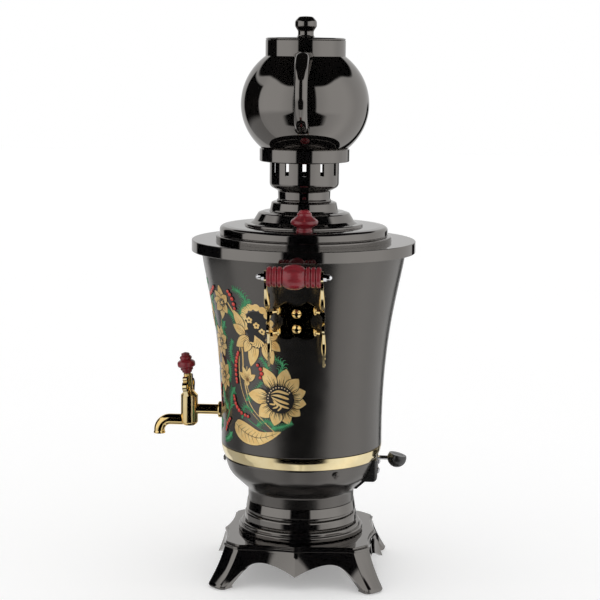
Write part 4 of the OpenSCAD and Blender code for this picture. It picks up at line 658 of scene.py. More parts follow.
def make_lid():
    corners = [
        (75.4, Z_LID), (75.4, Z_LID + 3.9, 0.9), (71.7, Z_LID + 4.4, 0.4), (72.2, Z_LID + 5.1, 0.5),
        (72.2, Z_SHELF - 0.6, 4.6), (65.2, Z_SHELF, 6), (51, Z_SHELF, 0.4), (50.6, Z_SHELF + 2, 1.2),
        (46, Z_SHELF + 2.2, 1.1), (43, Z_SHELF + 4.2, 2.2), (39, Z_STEP - 1.2, 1.6), (35, Z_STEP, 1),
        (30.1, Z_STEP, 0.8), (29.1, Z_STEP + 1.6, 1), (27.8, Z_LID_TOP - 0.8, 0.8),
        (26, Z_LID_TOP, 0.6), (11, Z_LID_TOP),
    ]
    skirt = [(71.8, Z_LID - 8), (71.8, Z_LID), (74.2, Z_LID), (74.2, Z_LID + 0.8), (70.7, Z_LID + 0.8),
             (70.7, Z_LID - 8)]
    obj = lathe("lid_cover", spun_loop(corners, 1.4), "gloss_black", 256, [lathe_faces(skirt, 256)])
    stands_for(obj, "lid", "lid")


def make_lid_knobs():
    r, h = 11.4, 18.7
    reach = 60.5
    outline = rounded([
        (0, 0), (0.6 * r, 0, 0.3), (0.6 * r, 0.08 * h, 0.5), (0.56 * r, 0.11 * h, 0.4),
        (0.56 * r, 0.2 * h, 0.5), (0.66 * r, 0.23 * h, 0.4), (r, 0.36 * h, 2), (r, 0.52 * h, 2.8),
        (0.54 * r, 0.73 * h, 0.5), (0.53 * r, 0.76 * h, 0.4), (0.53 * r, 0.84 * h, 1),
        (0.44 * r, 0.87 * h, 0.5), (0.36 * r, 0.97 * h, 2.4), (0, h),
    ])
    loop = [(p[0], Z_SHELF + p[1]) for p in outline]
    places = [polar((0, 0), math.radians(LID_TURN + 180 * i), reach) for i in (0, 1)]
    parts = [lathe_faces(loop, 96, place) for place in places]
    stands_for(smooth_piece("lid_knob_pair", *joined(parts), "red_wood"), "lid_knobs", "lid")


def make_crown():
    """A spun cup whose wall has twelve slots; its columns and rows run along their borders."""
    count, cup_r, slot_w, slot_h, wall = 12, 29.7, 3.7, 10.3, 1.5
    slot_high = Z_RING - 0.9
    slot_low = slot_high - slot_h
    corners = [
        (10.5, Z_CROWN - 5), (10.5, Z_CROWN), (24.3, Z_CROWN, 0.8), (22.3, Z_CROWN + 2.6, 1.4),
        (22.6, Z_CUP - 2.6, 1.6), (cup_r, Z_CUP + 1.2, 5), (cup_r, Z_RING - 0.6, 0.4),
        (31.3, Z_RING, 0.5), (38.4, Z_RING, 0.8), (38.4, Z_RING + 10.6),
    ]

    def near(a, b):
        return abs(a - b) < 0.01

    def with_rows(path, r):
        """The path with points at the slots' ends, where it runs up the slotted wall."""
        rows = []
        for a, b in zip(path, path[1:]):
            rows.append(a)
            if near(a[0], r) and near(b[0], r):
                rows += [(r, z) for z in (slot_low, slot_high) if a[1] < z < b[1]]
        return rows + [path[-1]]

    outer = with_rows(rounded(corners), cup_r)
    inner = with_rows(rounded(moved_in(corners, wall)), cup_r - wall)
    half = math.asin(slot_w / 2 / cup_r)
    strips = 14
    turns = []
    for k in range(count):
        middle = math.radians(LID_TURN) + 2 * math.pi * k / count
        turns.append(middle - half)
        step = (2 * math.pi / count - 2 * half) / strips
        turns += [middle + half + step * i for i in range(strips)]
    columns = len(turns)
    points, faces = [], []
    for r, z in outer + inner:
        points += [(r * math.cos(t) * MM, r * math.sin(t) * MM, z * MM) for t in turns]

    def at(path_start, row, column):
        return (path_start + row) * columns + column % columns

    def in_slot(path, row, column):
        low, high = path[row][1], path[row + 1][1]
        level = low > slot_low - 0.01 and high < slot_high + 0.01
        return column % (strips + 1) == 0 and level and near(path[row][0], path[row + 1][0])

    def slot_rows(path):
        return [i for i, (r, z) in enumerate(path) if near(z, slot_low) or near(z, slot_high)]

    def add_face(*corners):
        faces.append(tuple(at(*corner) for corner in corners))

    inside = len(outer)
    for start, path in ((0, outer), (inside, inner)):
        for row in range(len(path) - 1):
            for column in range(columns):
                if not in_slot(path, row, column):
                    add_face((start, row, column), (start, row, column + 1),
                             (start, row + 1, column + 1), (start, row + 1, column))
    for row_out, row_in in ((0, 0), (len(outer) - 1, len(inner) - 1)):
        for column in range(columns):
            add_face((0, row_out, column), (0, row_out, column + 1),
                     (inside, row_in, column + 1), (inside, row_in, column))
    out_rows, in_rows = slot_rows(outer), slot_rows(inner)
    for k in range(count):
        c = k * (strips + 1)
        border = [(0, c), (0, c + 1), (1, c + 1), (1, c)]
        for (row_a, col_a), (row_b, col_b) in zip(border, border[1:] + border[:1]):
            add_face((0, out_rows[row_a], col_a), (0, out_rows[row_b], col_b),
                     (inside, in_rows[row_b], col_b), (inside, in_rows[row_a], col_a))
    stands_for(smooth_piece("crown_cup", points, faces, "gloss_black"), "crown", "crown")


# Teapot --------------------------------------------------------------------------------------

POT_R = 54.6
POT_LOW = 50.5
POT_HIGH = 51.7
POT_FOOT_R = 36.0
POT_NECK_R = 34.0
POT_T = 3.4
POT_TURN = 1.0


def belly(shrink, steps=72):
    """The pot's round wall from foot to neck, moved inward by shrink."""
    r = POT_R - shrink
    start = -math.acos((POT_FOOT_R - shrink) / r)
    end = math.acos((POT_NECK_R - shrink) / r)
    turns = [start + (end - start) * i / steps for i in range(steps + 1)]
    return [polar((0, Z_POT_MID), a, r, (POT_LOW if a < 0 else POT_HIGH) - shrink) for a in turns]


def spout_point(t):
    root = (-POT_R + 9, Z_POT_MID - 16)
    tip = (-93.0, Z_POT_RIM - 14.5)
    return bezier((root, (root[0] - 29, root[1] + 1), (tip[0] + 21, tip[1] - 24), tip), t)


def swept(route, sizes, sides):
    """A closed oval bar along a route of (outward, height) points."""
    points = []
    last = len(route) - 1
    for i, (x, z) in enumerate(route):
        before, after = Vector(route[max(0, i - 1)]), Vector(route[min(last, i + 1)])
        d = (after - before).normalized()
        for j in range(sides):
            across, y = polar((0, 0), 2 * math.pi * j / sides, *sizes[i])
            points.append(((x - d.y * across) * MM, y * MM, (z + d.x * across) * MM))
    ends = [tuple(range(sides - 1, -1, -1)), tuple(last * sides + j for j in range(sides))]
    return points, grid_faces(len(route), sides) + ends


def spout_part(shrink, start, end, steps=48):
    stops = [start + (end - start) * i / steps for i in range(steps + 1)]
    radii = [13.5 - 6.9 * (1 - max(0.0, 1 - t) ** 1.8) - shrink for t in stops]
    return turned_about_z(swept([spout_point(t) for t in stops], [(r, r) for r in radii], 48), POT_TURN)


def make_teapot():
    outside = [(0, Z_POT), (35.2, Z_POT), (36, Z_POT + 0.8)] + belly(0)[1:]
    outside += [(POT_NECK_R, Z_POT_RIM - 0.6), (POT_NECK_R - 0.6, Z_POT_RIM), (0, Z_POT_RIM)]
    hollow = [(0, Z_POT + 4), (POT_FOOT_R - POT_T - 3, Z_POT + 4)]
    hollow += [p for p in belly(POT_T) if p[1] > Z_POT + 7]
    hollow += [(POT_NECK_R - POT_T, Z_POT_RIM + 1), (0, Z_POT_RIM + 1)]
    obj = mesh_object("teapot_pot", *lathe_faces(outside, 224), FINISH["glazed_ceramic"])
    for part, operation in (
        (spout_part(0, 0, 1), "UNION"), (lathe_faces(hollow, 96), "DIFFERENCE"),
        (spout_part(2.6, 0.12, 1.04), "DIFFERENCE"),
    ):
        helper = mesh_object("helper", *part)
        tidy_normals(helper)
        tidy_normals(obj)
        cut(obj, [helper], operation)
    tidy_normals(obj)
    weigh_normals(obj)
    stands_for(obj, "teapot", "teapot")


def make_teapot_handle():
    top_z = Z_POT + 86.8
    loop_x, loop_r, loop_end, steps = POT_R - 1.5, 29.5, -118.0, 72
    route = [(POT_NECK_R + out, top_z) for out in (-2, 2, 6, 12)]
    for i in range(steps + 1):
        a = math.radians(90 + (loop_end - 90) * i / steps)
        route.append(polar((loop_x, top_z - loop_r), a, loop_r))
    sizes = []
    for i in range(len(route)):
        end = abs(2 * i / (len(route) - 1) - 1)
        flare = 1 + 0.35 * end ** 6
        waist = 0.84 + 0.16 * end * end
        sizes.append((4 * flare, 6.4 * waist * flare))
    part = turned_about_z(swept(route, sizes, 56), POT_TURN)
    obj = smooth_piece("teapot_strap_handle", *part, "glazed_ceramic", 40, weigh=False)
    stands_for(obj, "teapot_handle", "teapot")


def make_teapot_lid():
    z = Z_POT_RIM + 0.05
    top, h, r = z + 1.8, 18.0, 9.3
    plug = POT_NECK_R - POT_T - 0.5
    loop = rounded([
        (0, z - 9), (plug - 0.4, z - 9, 0.3), (plug, z), (POT_NECK_R - 0.1, z, 0.3),
        (POT_NECK_R - 0.1, top - 0.9, 0.8), (POT_NECK_R - 2, top - 0.1, 1.2), (r + 6, top + 0.3, 8),
        (0.8 * r, top + 0.6, 1.2), (0.72 * r, top + 0.12 * h, 0.6), (0.72 * r, top + 0.3 * h, 2),
        (r, top + 0.52 * h, 3), (r, top + 0.76 * h, 3.5), (0.62 * r, top + 0.97 * h, 3), (0, top + h),
    ])
    stands_for(lathe("teapot_lid_cover", loop, "glazed_ceramic"), "teapot_lid", "teapot_cover")


# Relief of the handles' cheeks ---------------------------------------------------------------

GRIP_AT = (118.362, 274.0)
HANDLE_Z = 232.6
HANDLE_WALL_R = 78.3622
HANDLE_SLOPE = math.radians(10.0248)
CHEEK_IN, CHEEK_T = 21.7, 1.9
LUG_Y = 15.3


def wall_point(up, off):
    """A place beside the tank at a height above the handle's middle, as the drawing has it."""
    return tank_r(HANDLE_Z + up) + off, HANDLE_Z + up


def plate_point(out, y, up):
    """A place in the plate's own tilted frame."""
    c, s = math.cos(HANDLE_SLOPE), math.sin(HANDLE_SLOPE)
    return HANDLE_WALL_R + out * c + up * s, y, HANDLE_Z - out * s + up * c


def round_rib(path, sizes, around=14):
    """A closed round rib along a path; sizes are its half-widths across Y and in the X-Z plane."""
    points = []
    path = [Vector(p) for p in path]
    last = len(path) - 1
    for i, place in enumerate(path):
        ahead = (path[min(last, i + 1)] - path[max(0, i - 1)]).normalized()
        side = Vector((0, 1, 0)) - ahead * ahead.y
        side = side.normalized() if side.length > 0.3 else Vector((0, 0, 1))
        flat = ahead.cross(side)
        for k in range(around):
            a, b = polar((0, 0), 2 * math.pi * k / around, *sizes[i])
            points.append(place + side * a + flat * b)
    ends = [tuple(range(around)), tuple(last * around + k for k in reversed(range(around)))]
    return points, grid_faces(len(path), around) + ends


def leaf_rib(curve, y, wide, deep, steps=18):
    """A leaf-shaped rib along a curve of (x, z), as wide as the leaf at its widest."""
    path, sizes = [], []
    for i in range(steps + 1):
        t = i / steps
        x, z = curve(t)
        grow = 0.08 + 0.92 * math.sin(math.pi * t ** 1.5) ** 0.9
        path.append((x, y, z))
        sizes.append((wide * grow, deep * (0.3 + 0.7 * grow)))
    return round_rib(path, sizes)


def bead(place, radii, steps=10):
    """An upright oval ball with radii along X, Y and Z."""
    x, y, z = place
    turns = [math.pi * (i + 0.1) / (steps + 0.2) for i in range(steps + 1)]
    path = [(x, y, z - radii[2] * math.cos(a)) for a in turns]
    return round_rib(path, [(radii[1] * math.sin(a), radii[0] * math.sin(a)) for a in turns])


def make_cheek_relief():
    """Leaves along the cheeks' arms, two beads at their tips, and the lugs of the plate."""
    arm_r = GRIP_AT[0] - wall_point(8, 8.6)[0]
    lug_steps = (0, 0.2, 0.4, 0.6, 0.8, 1)

    def arm(t):
        return polar((GRIP_AT[0] - arm_r, GRIP_AT[1]), math.radians(-12 - 62 * t), arm_r)

    def low(t):
        return wall_point(-9 - 20 * t, 7.4 - 2.2 * t)

    for turn, name in ((1, "right"), (-1, "left")):
        shapes = []
        for side in (1, -1):
            inner, outer = side * CHEEK_IN, side * (CHEEK_IN + CHEEK_T)
            shapes += [
                leaf_rib(arm, inner, 2.1, 2.3), leaf_rib(low, inner, 1.6, 2.0),
                leaf_rib(arm, outer, 0.9, 1.7), leaf_rib(low, outer, 0.8, 1.5),
            ]
            for up, off, radii in ((-31, 4.6, (1.7, 1.5, 1.4)), (-36.4, 4.4, (1.5, 1.4, 1.7))):
                x, z = wall_point(up, off)
                shapes.append(bead((x, side * (CHEEK_IN + CHEEK_T / 2), z), radii))
            for up in (8.6, -9.6):
                shapes.append(bead(plate_point(1.9, side * LUG_Y, up), (1.4, 1.3, 2.9)))
                path = [plate_point(1.8 + 2.6 * t, side * (LUG_Y + (CHEEK_IN - LUG_Y + 0.4) * t), up)
                        for t in lug_steps]
                shapes.append(round_rib(path, [(1.1 + 0.9 * t * t,) * 2 for t in lug_steps]))
        points, faces = joined(shapes)
        points = [(turn * x * MM, y * MM, z * MM) for x, y, z in points]
        obj = smooth_piece(name + "_cheek_relief", points, faces, "gold", 50, weigh=False)
        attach(obj, "base")


def soften(node, width):
    """Small rounded edges on a piece that the drawing gives with sharp ones."""
    edge = nodes[node].modifiers.new("edge", "BEVEL")
    edge.width = width * MM
    edge.segments = 3
    edge.limit_method = "ANGLE"
    edge.angle_limit = math.radians(50)
    edge.harden_normals = True


def soften_small_pieces():
    for side in ("right", "left"):
        soften(side + "_handle_cheeks", 0.4)
        soften(side + "_handle_plate", 0.35)


# Wooden grips --------------------------------------------------------------------------------

def make_grips():
    """Turned grips: a ball in the middle and three ribs toward each end, bored for the rod."""
    grip_l, ball_l, ball_r, end_r, bore_r = 43.3, 18.4, 10.2, 8.25, 1.55
    arc, steps = math.radians(62), 18
    half_l = ball_l / 2
    pitch = (grip_l / 2 - half_l) / 3
    groove = end_r - 1.5
    ball_low = groove + 0.2
    half = []
    for i in range(steps + 1):
        a = i * arc / steps
        swell = (math.cos(a) - math.cos(arc)) / (1 - math.cos(arc))
        half.append((ball_low + (ball_r - ball_low) * swell, half_l * math.sin(a) / math.sin(arc)))
    ends = []
    for k in range(3):
        low, high = half_l + k * pitch, half_l + (k + 1) * pitch
        ends += [(groove, low + 0.15, 0.1), (end_r - 0.5, low + 0.5, 0.4), (end_r, low + 1.2, 1.2),
                 (end_r, high - 0.9, 1.2), (end_r - 0.5, high - 0.3, 0.4),
                 (groove + (1.2 if k == 2 else 0), high, 0.1)]
    path = half + rounded(ends)
    loop = [(r, -x) for r, x in path[::-1]] + path[1:] + [(bore_r, grip_l / 2), (bore_r, -grip_l / 2)]
    for side, name in ((1, "right"), (-1, "left")):
        points, faces = lathe_faces(loop, 96)
        points = [(side * GRIP_AT[0] * MM + x, z, GRIP_AT[1] * MM + y) for x, y, z in points]
        obj = smooth_piece(name + "_grip_wood", points, faces, "red_wood", 40, weigh=False)
        stands_for(obj, name + "_handle_grip", "base")


# Painted ornament ----------------------------------------------------------------------------

TAP_TURN = -math.pi / 2
ARC_R = 70.0

# Height of the lowest paint above the wall, of each further layer, and depth of its back in the wall
PAINT_T = 0.1
PAINT_STEP = 0.028
PAINT_SUNK = 0.15

# Layers of a flower's eye, of the dots and curls on it, and of berries with their rim and light
EYE = 15
ON_EYE = 17
BERRY_RIM, BERRY, BERRY_LIGHT = 20, 22, 24


def on_tank(u, z, lift):
    """A place on the tank's wall: u is millimetres of arc from the tap's axis toward +X."""
    turn = TAP_TURN + u / ARC_R
    r = tank_r(z) + lift
    return r * math.cos(turn) * MM, r * math.sin(turn) * MM, z * MM


def along(points, t):
    """A place on the smooth curve through some points, t from 0 to 1."""
    last = len(points) - 1
    if last == 1:
        a, b = points
        return a[0] + (b[0] - a[0]) * t, a[1] + (b[1] - a[1]) * t
    i = min(last - 1, int(t * last))
    f = t * last - i
    p0, p1, p2, p3 = points[max(0, i - 1)], points[i], points[i + 1], points[min(last, i + 2)]
    return tuple(
        0.5 * (2 * p1[k] + (p2[k] - p0[k]) * f + (2 * p0[k] - 5 * p1[k] + 4 * p2[k] - p3[k]) * f * f
               + (3 * p1[k] - p0[k] - 3 * p2[k] + p3[k]) * f ** 3)
        for k in (0, 1)
    )


def heading(points, t, back, ahead):
    """The place at t on a curve, and the curve's direction there from a step back to one ahead."""
    x0, y0 = along(points, max(0.0, t - back))
    x1, y1 = along(points, min(1.0, t + ahead))
    length = math.hypot(x1 - x0, y1 - y0) or 1
    return *along(points, t), (x1 - x0) / length, (y1 - y0) / length


# How wide each kind of stroke is along its length, from 0 to 1
SHAPES = {
    "petal": lambda t: math.sin(math.pi * t ** 0.8) ** 0.8,
    "drop": lambda t: math.sqrt(max(0.0, 1 - (2 * max(0, t - 0.62) / 0.76) ** 2))
    * (0.12 + 0.88 * ramp(t, 0, 0.62)),
    "leaf": lambda t: math.sin(math.pi * t ** 0.62) ** 0.9,
    "stem": lambda t: 0.45 + 0.55 * math.sin(math.pi * min(1, t + 0.25)),
    "line": lambda t: 0.35 + 0.65 * math.sin(math.pi * t),
    "lash": lambda t: (1 - t) ** 0.7,
}


class Painting:
    """Thin closed patches of paint on the tank's wall, in one mesh for each colour. A layer is the
    number of paint steps by which a patch stands out, so that patches which cross don't coincide."""

    def __init__(self):
        self.points = {}
        self.faces = {}

    def patch(self, paint, grid, border, top, layer):
        """A patch, mirrored about the tap, from its flat points, its border's loop and its faces."""
        points = self.points.setdefault(paint, [])
        faces = self.faces.setdefault(paint, [])
        n = len(grid)
        for side in (1, -1):
            start = len(points)
            for lift in (PAINT_T + PAINT_STEP * layer, -PAINT_SUNK):
                points += [on_tank(side * u, z, lift) for u, z in grid]
            faces += [tuple(start + k for k in face) for face in top]
            faces += [tuple(start + n + k for k in reversed(face)) for face in top]
            for a, b in zip(border, border[1:] + border[:1]):
                faces.append((start + b, start + a, start + n + a, start + n + b))

    def stroke(self, paint, points, width, shape, layer, steps=14):
        """A brush stroke along a curve, width at its widest."""
        across = 4
        n = across + 1
        grid = []
        for i in range(steps + 1):
            t = i / steps
            x, y, dx, dy = heading(points, t, 0.02, 0.02)
            half = max(0.07, width / 2 * SHAPES[shape](t))
            for j in range(n):
                off = half * (2 * j / across - 1)
                grid.append((x - dy * off, y + dx * off))
        top = [(i * n + j, i * n + j + 1, (i + 1) * n + j + 1, (i + 1) * n + j)
               for i in range(steps) for j in range(across)]
        border = list(range(n)) + [i * n + across for i in range(1, steps + 1)]
        border += [steps * n + j for j in reversed(range(across))]
        border += [i * n for i in reversed(range(1, steps))]
        self.patch(paint, grid, border, top, layer)

    def disc(self, paint, centre, radius, layer, sides=16, squeeze=1.0):
        """A round dab, narrower across the tank with squeeze."""
        grid = [centre]
        for r in (0.5 * radius, radius):
            grid += [polar(centre, 2 * math.pi * i / sides, r * squeeze, r) for i in range(sides)]
        top = [(0, 1 + i, 1 + (i + 1) % sides) for i in range(sides)]
        top += [(1 + i, 1 + sides + i, 1 + sides + (i + 1) % sides, 1 + (i + 1) % sides)
                for i in range(sides)]
        self.patch(paint, grid, list(range(1 + sides, 1 + 2 * sides)), top, layer)

    def berries(self, points, radius=1.7):
        """A row of touching berries, smaller toward its ends, each with a rim and a light dot."""
        length = sum(math.dist(along(points, i / 40), along(points, (i + 1) / 40)) for i in range(40))
        count = max(3, round(length / (2 * radius + 0.1)) + 1)
        for i in range(count):
            t = i / (count - 1)
            x, y = along(points, t)
            r = radius * (0.78 + 0.22 * math.sin(math.pi * t))
            self.disc("dark", (x, y), r + 0.45, BERRY_RIM + i % 2)
            self.disc("red", (x, y), r, BERRY)
            self.disc("rose", (x - 0.4, y + 0.45), 0.42, BERRY_LIGHT, 8)

    def feather(self, points, width, count=12):
        """A curled green frond: a stem with fine lashes that bend back on both sides."""
        self.stroke("green", points, 0.8, "lash", 1)
        for i in range(count):
            t = (i + 0.6) / (count + 0.4)
            x, y, fx, fy = heading(points, t, 0, 0.03)
            size = width * (1.1 - 0.6 * t)
            for side in (-1, 1):
                out = (-side * fy, side * fx)
                mid = (x + size * (0.62 * fx + 0.42 * out[0]), y + size * (0.62 * fy + 0.42 * out[1]))
                tip = (x + size * (0.5 * fx + 0.98 * out[0]), y + size * (0.5 * fy + 0.98 * out[1]))
                self.stroke("green", [(x, y), mid, tip], 0.78, "lash", 2 + i % 2, 7)

    def petal(self, centre, degrees, start, length, width, layer, vein="brown"):
        """A pointed gold petal with a dark fringe and three ribs, that leaves a centre."""
        dx, dy = polar((0, 0), math.radians(degrees), 1)

        def at(ahead, off):
            ahead += start
            return centre[0] + dx * ahead - dy * off, centre[1] + dy * ahead + dx * off

        middle = [at(0, 0), at(length, 0)]
        self.stroke("dark", middle, width + 1.3, "petal", layer, 12)
        self.stroke("gold", middle, width, "petal", layer + 1, 12)
        for k in (-1, 0, 1):
            rib = [at(0, k * width * 0.12), at(length * (0.62 - 0.12 * abs(k)), k * width * 0.2)]
            self.stroke(vein, rib, 0.5, "lash", layer + 2, 5)

    def bloom(self, centre, width, petals):
        """A flower of (degrees, length) petals round a dotted eye."""
        for k, (degrees, length) in enumerate(petals):
            self.petal(centre, degrees, 1, length, width, 2 + 2 * (k % 4))
        self.disc("dark", centre, 3.6, EYE)
        for i in range(7):
            self.disc("cream", polar(centre, 2 * math.pi * i / 7, 2.7), 0.45, ON_EYE, 8)
        self.disc("gold", centre, 1.5, ON_EYE)

    def small_flower(self, centre, size):
        """Five round gold petals and a dark eye."""
        for k in range(5):
            self.disc("gold", polar(centre, math.radians(90 + 72 * k), size * 0.62), size * 0.42, 4, 10)
        self.disc("dark", centre, size * 0.3, 5, 8)

    def scallops(self, points, count, radius):
        """Gold dabs along a curve."""
        for i in range(count):
            self.disc("gold", along(points, i / (count - 1)), radius, 2, 14)

    def leaf(self, points, width, ribs):
        """A broad gold leaf with dark ribs."""
        self.stroke("dark", points, width + 1.2, "leaf", 1, 18)
        self.stroke("gold", points, width, "leaf", 2, 18)
        self.stroke("dark", [along(points, t) for t in (0.05, 0.35, 0.65, 0.92)], 0.55, "line", 3)
        for i in range(ribs):
            t = 0.14 + 0.7 * i / (ribs - 1)
            x, y, fx, fy = heading(points, t, 0, 0.03)
            reach = width * 0.34 * SHAPES["leaf"](t)
            for side in (-1, 1):
                end = (x + reach * (0.7 * fx - side * fy), y + reach * (0.7 * fy + side * fx))
                self.stroke("dark", [(x, y), end], 0.45, "lash", 3, 4)

    def pieces(self):
        """Makes one piece of each colour."""
        for paint, points in self.points.items():
            obj = mesh_object("ornament_" + paint, points, self.faces[paint], PAINTS[paint])
            tidy_normals(obj)
            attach(obj, "base")


def paint_finish(name, base, low, high, roughness, metallic=0.0):
    return finish(name, base, roughness, (180, low, high), (220, 0.15), (1400, 0.006), metallic=metallic)


PAINTS = {
    "gold": paint_finish("gold_paint", (0.97, 0.68, 0.27), (0.92, 0.6, 0.22), (1.0, 0.76, 0.36), 0.4, 0.66),
    "brown": paint_finish(
        "brown_paint", (0.2, 0.09, 0.03), (0.16, 0.07, 0.02), (0.26, 0.12, 0.04), 0.45, 0.4),
    "green": paint_finish("green_paint", (0.045, 0.3, 0.11), (0.03, 0.22, 0.08), (0.07, 0.4, 0.17), 0.4),
    "red": paint_finish("red_paint", (0.62, 0.03, 0.02), (0.54, 0.02, 0.015), (0.7, 0.05, 0.03), 0.38),
    "rose": paint_finish("light_red_paint", (0.8, 0.3, 0.22), (0.75, 0.25, 0.18), (0.85, 0.36, 0.28), 0.4),
    "dark": paint_finish("black_paint", grey(0.008), grey(0.006), (0.012, 0.01, 0.01), 0.35),
    "cream": paint_finish("cream_paint", (0.85, 0.66, 0.4), (0.8, 0.6, 0.34), (0.9, 0.72, 0.46), 0.4, 0.3),
}

# Paint, curve, width and steps of each stem
STEMS = (
    ("gold", [(44, 252), (58, 232), (62, 205), (62, 180), (68, 158), (82, 144), (93, 135)], 1.3, 40),
    ("gold", [(60, 208), (57, 190), (58, 172), (66, 155), (80, 142)], 0.8, 24),
    ("gold", [(66, 190), (65, 180), (66, 170), (74, 160), (80, 163)], 0.7, 20),
    ("green", [(30, 128), (36, 142), (46, 154), (58, 150), (70, 142), (88, 134)], 1.2, 30),
    ("gold", [(8, 134), (16, 150), (26, 162), (31, 180), (30, 200), (36, 222), (46, 238)], 1.1, 36),
)

# Centre, width and petals (degrees, length) of the flowers beside the arched one
BLOOMS = (
    ((44, 242), 7.5, ((95, 14), (135, 12), (175, 12), (215, 12), (255, 14), (300, 9), (45, 9))),
    ((33, 207), 7.5, ((80, 13), (120, 14), (160, 11), (200, 11), (240, 13), (285, 12), (330, 9), (30, 10))),
    ((33, 178), 7.5, ((100, 15), (140, 13), (180, 11), (225, 13), (265, 14), (310, 11), (0, 9), (50, 12))),
    ((12, 226), 8, ((90, 18), (125, 14), (55, 14), (160, 10), (20, 10), (270, 9), (230, 8), (310, 8))),
)

BERRIES = (
    [(54, 253), (57.5, 247), (59, 239)], [(57.5, 201), (54.6, 194), (53, 184), (53.5, 175)],
    [(77, 192.5), (80.5, 187.5), (79, 182)], [(48.6, 162), (51, 155), (57, 149.5), (65.7, 147)],
    [(41, 141), (36, 136), (33, 130)], [(22, 168), (19, 158), (21, 149)],
    [(20, 246), (27, 249), (34, 254)],
)

# Curve and width of each green frond
FRONDS = (
    ([(66, 240), (70.6, 247), (66, 254), (60, 256)], 5.5), ([(62, 228), (66, 240), (74, 247)], 4.5),
    ([(60, 224), (55, 232), (50, 236)], 4.2), ([(95, 186), (99, 194), (93, 199), (87, 197)], 4.6),
    ([(84, 180), (86, 190), (80, 199)], 4.2), ([(50, 190), (47, 201), (51, 210)], 4.6),
    ([(63, 160), (72, 168), (80, 178)], 4.2), ([(50, 170), (44, 162), (43, 152)], 5),
    ([(58, 144), (62, 155), (70, 152)], 4.2), ([(74, 140), (84, 145), (90, 142)], 4.2),
    ([(88, 139), (97, 141), (106, 145)], 4.2), ([(38, 148), (30, 156), (27, 166)], 5),
    ([(44, 226), (38, 219), (42, 211)], 4.6), ([(26, 232), (22, 240), (27, 246)], 4.6),
    ([(20, 214), (24, 220), (22, 228)], 4.2), ([(40, 192), (44, 184), (42, 174)], 4.6),
    ([(14, 160), (9, 168), (12, 178)], 4.6), ([(24, 136), (16, 132), (10, 126)], 4.6),
    ([(44, 130), (38, 124), (31, 121)], 4.2), ([(6, 246), (10, 254), (18, 257)], 4.6),
)


def paint_large_flower(art):
    """Pointed petals round a fringed dark eye with dots and curled stamens."""
    centre, eye = (96, 164.6), 12.0

    def at(right, up):
        return centre[0] + eye * right, centre[1] + eye * up

    for k, (degrees, length, width) in enumerate((
        (78, 17.5, 12), (118, 20.5, 12), (176, 20, 13), (220, 15, 13), (258, 13.5, 11), (290, 12.5, 10),
        (322, 12, 10), (352, 12.5, 10.5), (20, 13, 11), (50, 14.5, 11),
    )):
        art.petal(centre, degrees, eye * 0.8, length, width, 2 + 2 * (k % 5), "dark")
    for i in range(64):
        a = 2 * math.pi * i / 64
        reach = eye * (1.32 + 0.2 * math.sin(i * 2.4))
        art.stroke("dark", [polar(centre, a, eye * 0.8), polar(centre, a, reach)], 1.0, "lash", EYE - 1, 4)
    art.disc("dark", centre, eye, EYE, 28)
    for i in range(12):
        art.disc("cream", polar(centre, math.radians(38 + 14 * i), eye * 0.86), 0.6, ON_EYE, 8)
    for low, high, size in ((0.05, 0.62, 2.2), (0.3, 0.2, 2.4), (0.5, -0.25, 2.2), (0.45, -0.62, 1.9)):
        curl = [at(-0.62, 0.42 - low * 0.5), at(-0.1, high * 0.75 + 0.12), at(0.66, high * 0.8 - 0.1)]
        art.stroke("gold", curl, size, "drop", ON_EYE, 12)
    for degrees in (205, 232, 259):
        a = math.radians(degrees)
        curl = [at(-0.5, -0.1), polar(centre, a + 0.35, eye * 0.5), polar(centre, a, eye * 0.84)]
        art.stroke("gold", curl, 1.5, "drop", ON_EYE, 10)


def paint_arched_flower(art):
    """Petals that hang from a dark eye, under an arch of scallops with three small flowers."""
    arch = [(68.5, 222), (65.8, 231), (68.5, 238.5), (75, 242), (82, 241.2), (87.4, 236.5), (89.8, 228),
            (89, 220.5)]
    art.disc("dark", (78, 226), 12.5, 1, 28, 0.9)
    art.stroke("gold", arch, 4.2, "stem", 2, 30)
    art.scallops([along(arch, t) for t in (0.08, 0.25, 0.42, 0.6, 0.77, 0.94)], 9, 3.0)
    for centre in ((72, 230.6), (78, 226.4), (82.5, 221.4)):
        art.small_flower(centre, 2.8)
    for k in range(7):
        a = math.radians(25 + 22 * k)
        art.stroke("gold", [polar((78, 212), a, 4), polar((78, 212), a, 9.5, 8)], 0.9, "lash", 3, 5)
    for k, (degrees, length, width, root) in enumerate((
        (118, 19, 8.5, (66, 221)), (150, 14, 8.5, (67, 218)), (215, 17, 9, (70, 216)),
        (240, 12, 7.5, (71, 213)), (255, 22, 10, (76, 212)), (290, 19, 10, (84, 212)),
        (318, 12, 8, (88, 214)), (20, 8, 7, (88, 217)),
    )):
        art.petal(root, degrees, 0, length, width, 6 + 2 * (k % 4))
    art.disc("dark", (77.5, 214), 7.2, EYE, 20)
    for degrees in range(200, 326, 25):
        a = math.radians(degrees)
        curl = [(76, 218), polar((78, 214), a + 0.4, 4), polar((78, 214), a, 7.5, 6.5)]
        art.stroke("gold", curl, 1.5, "drop", ON_EYE, 8)


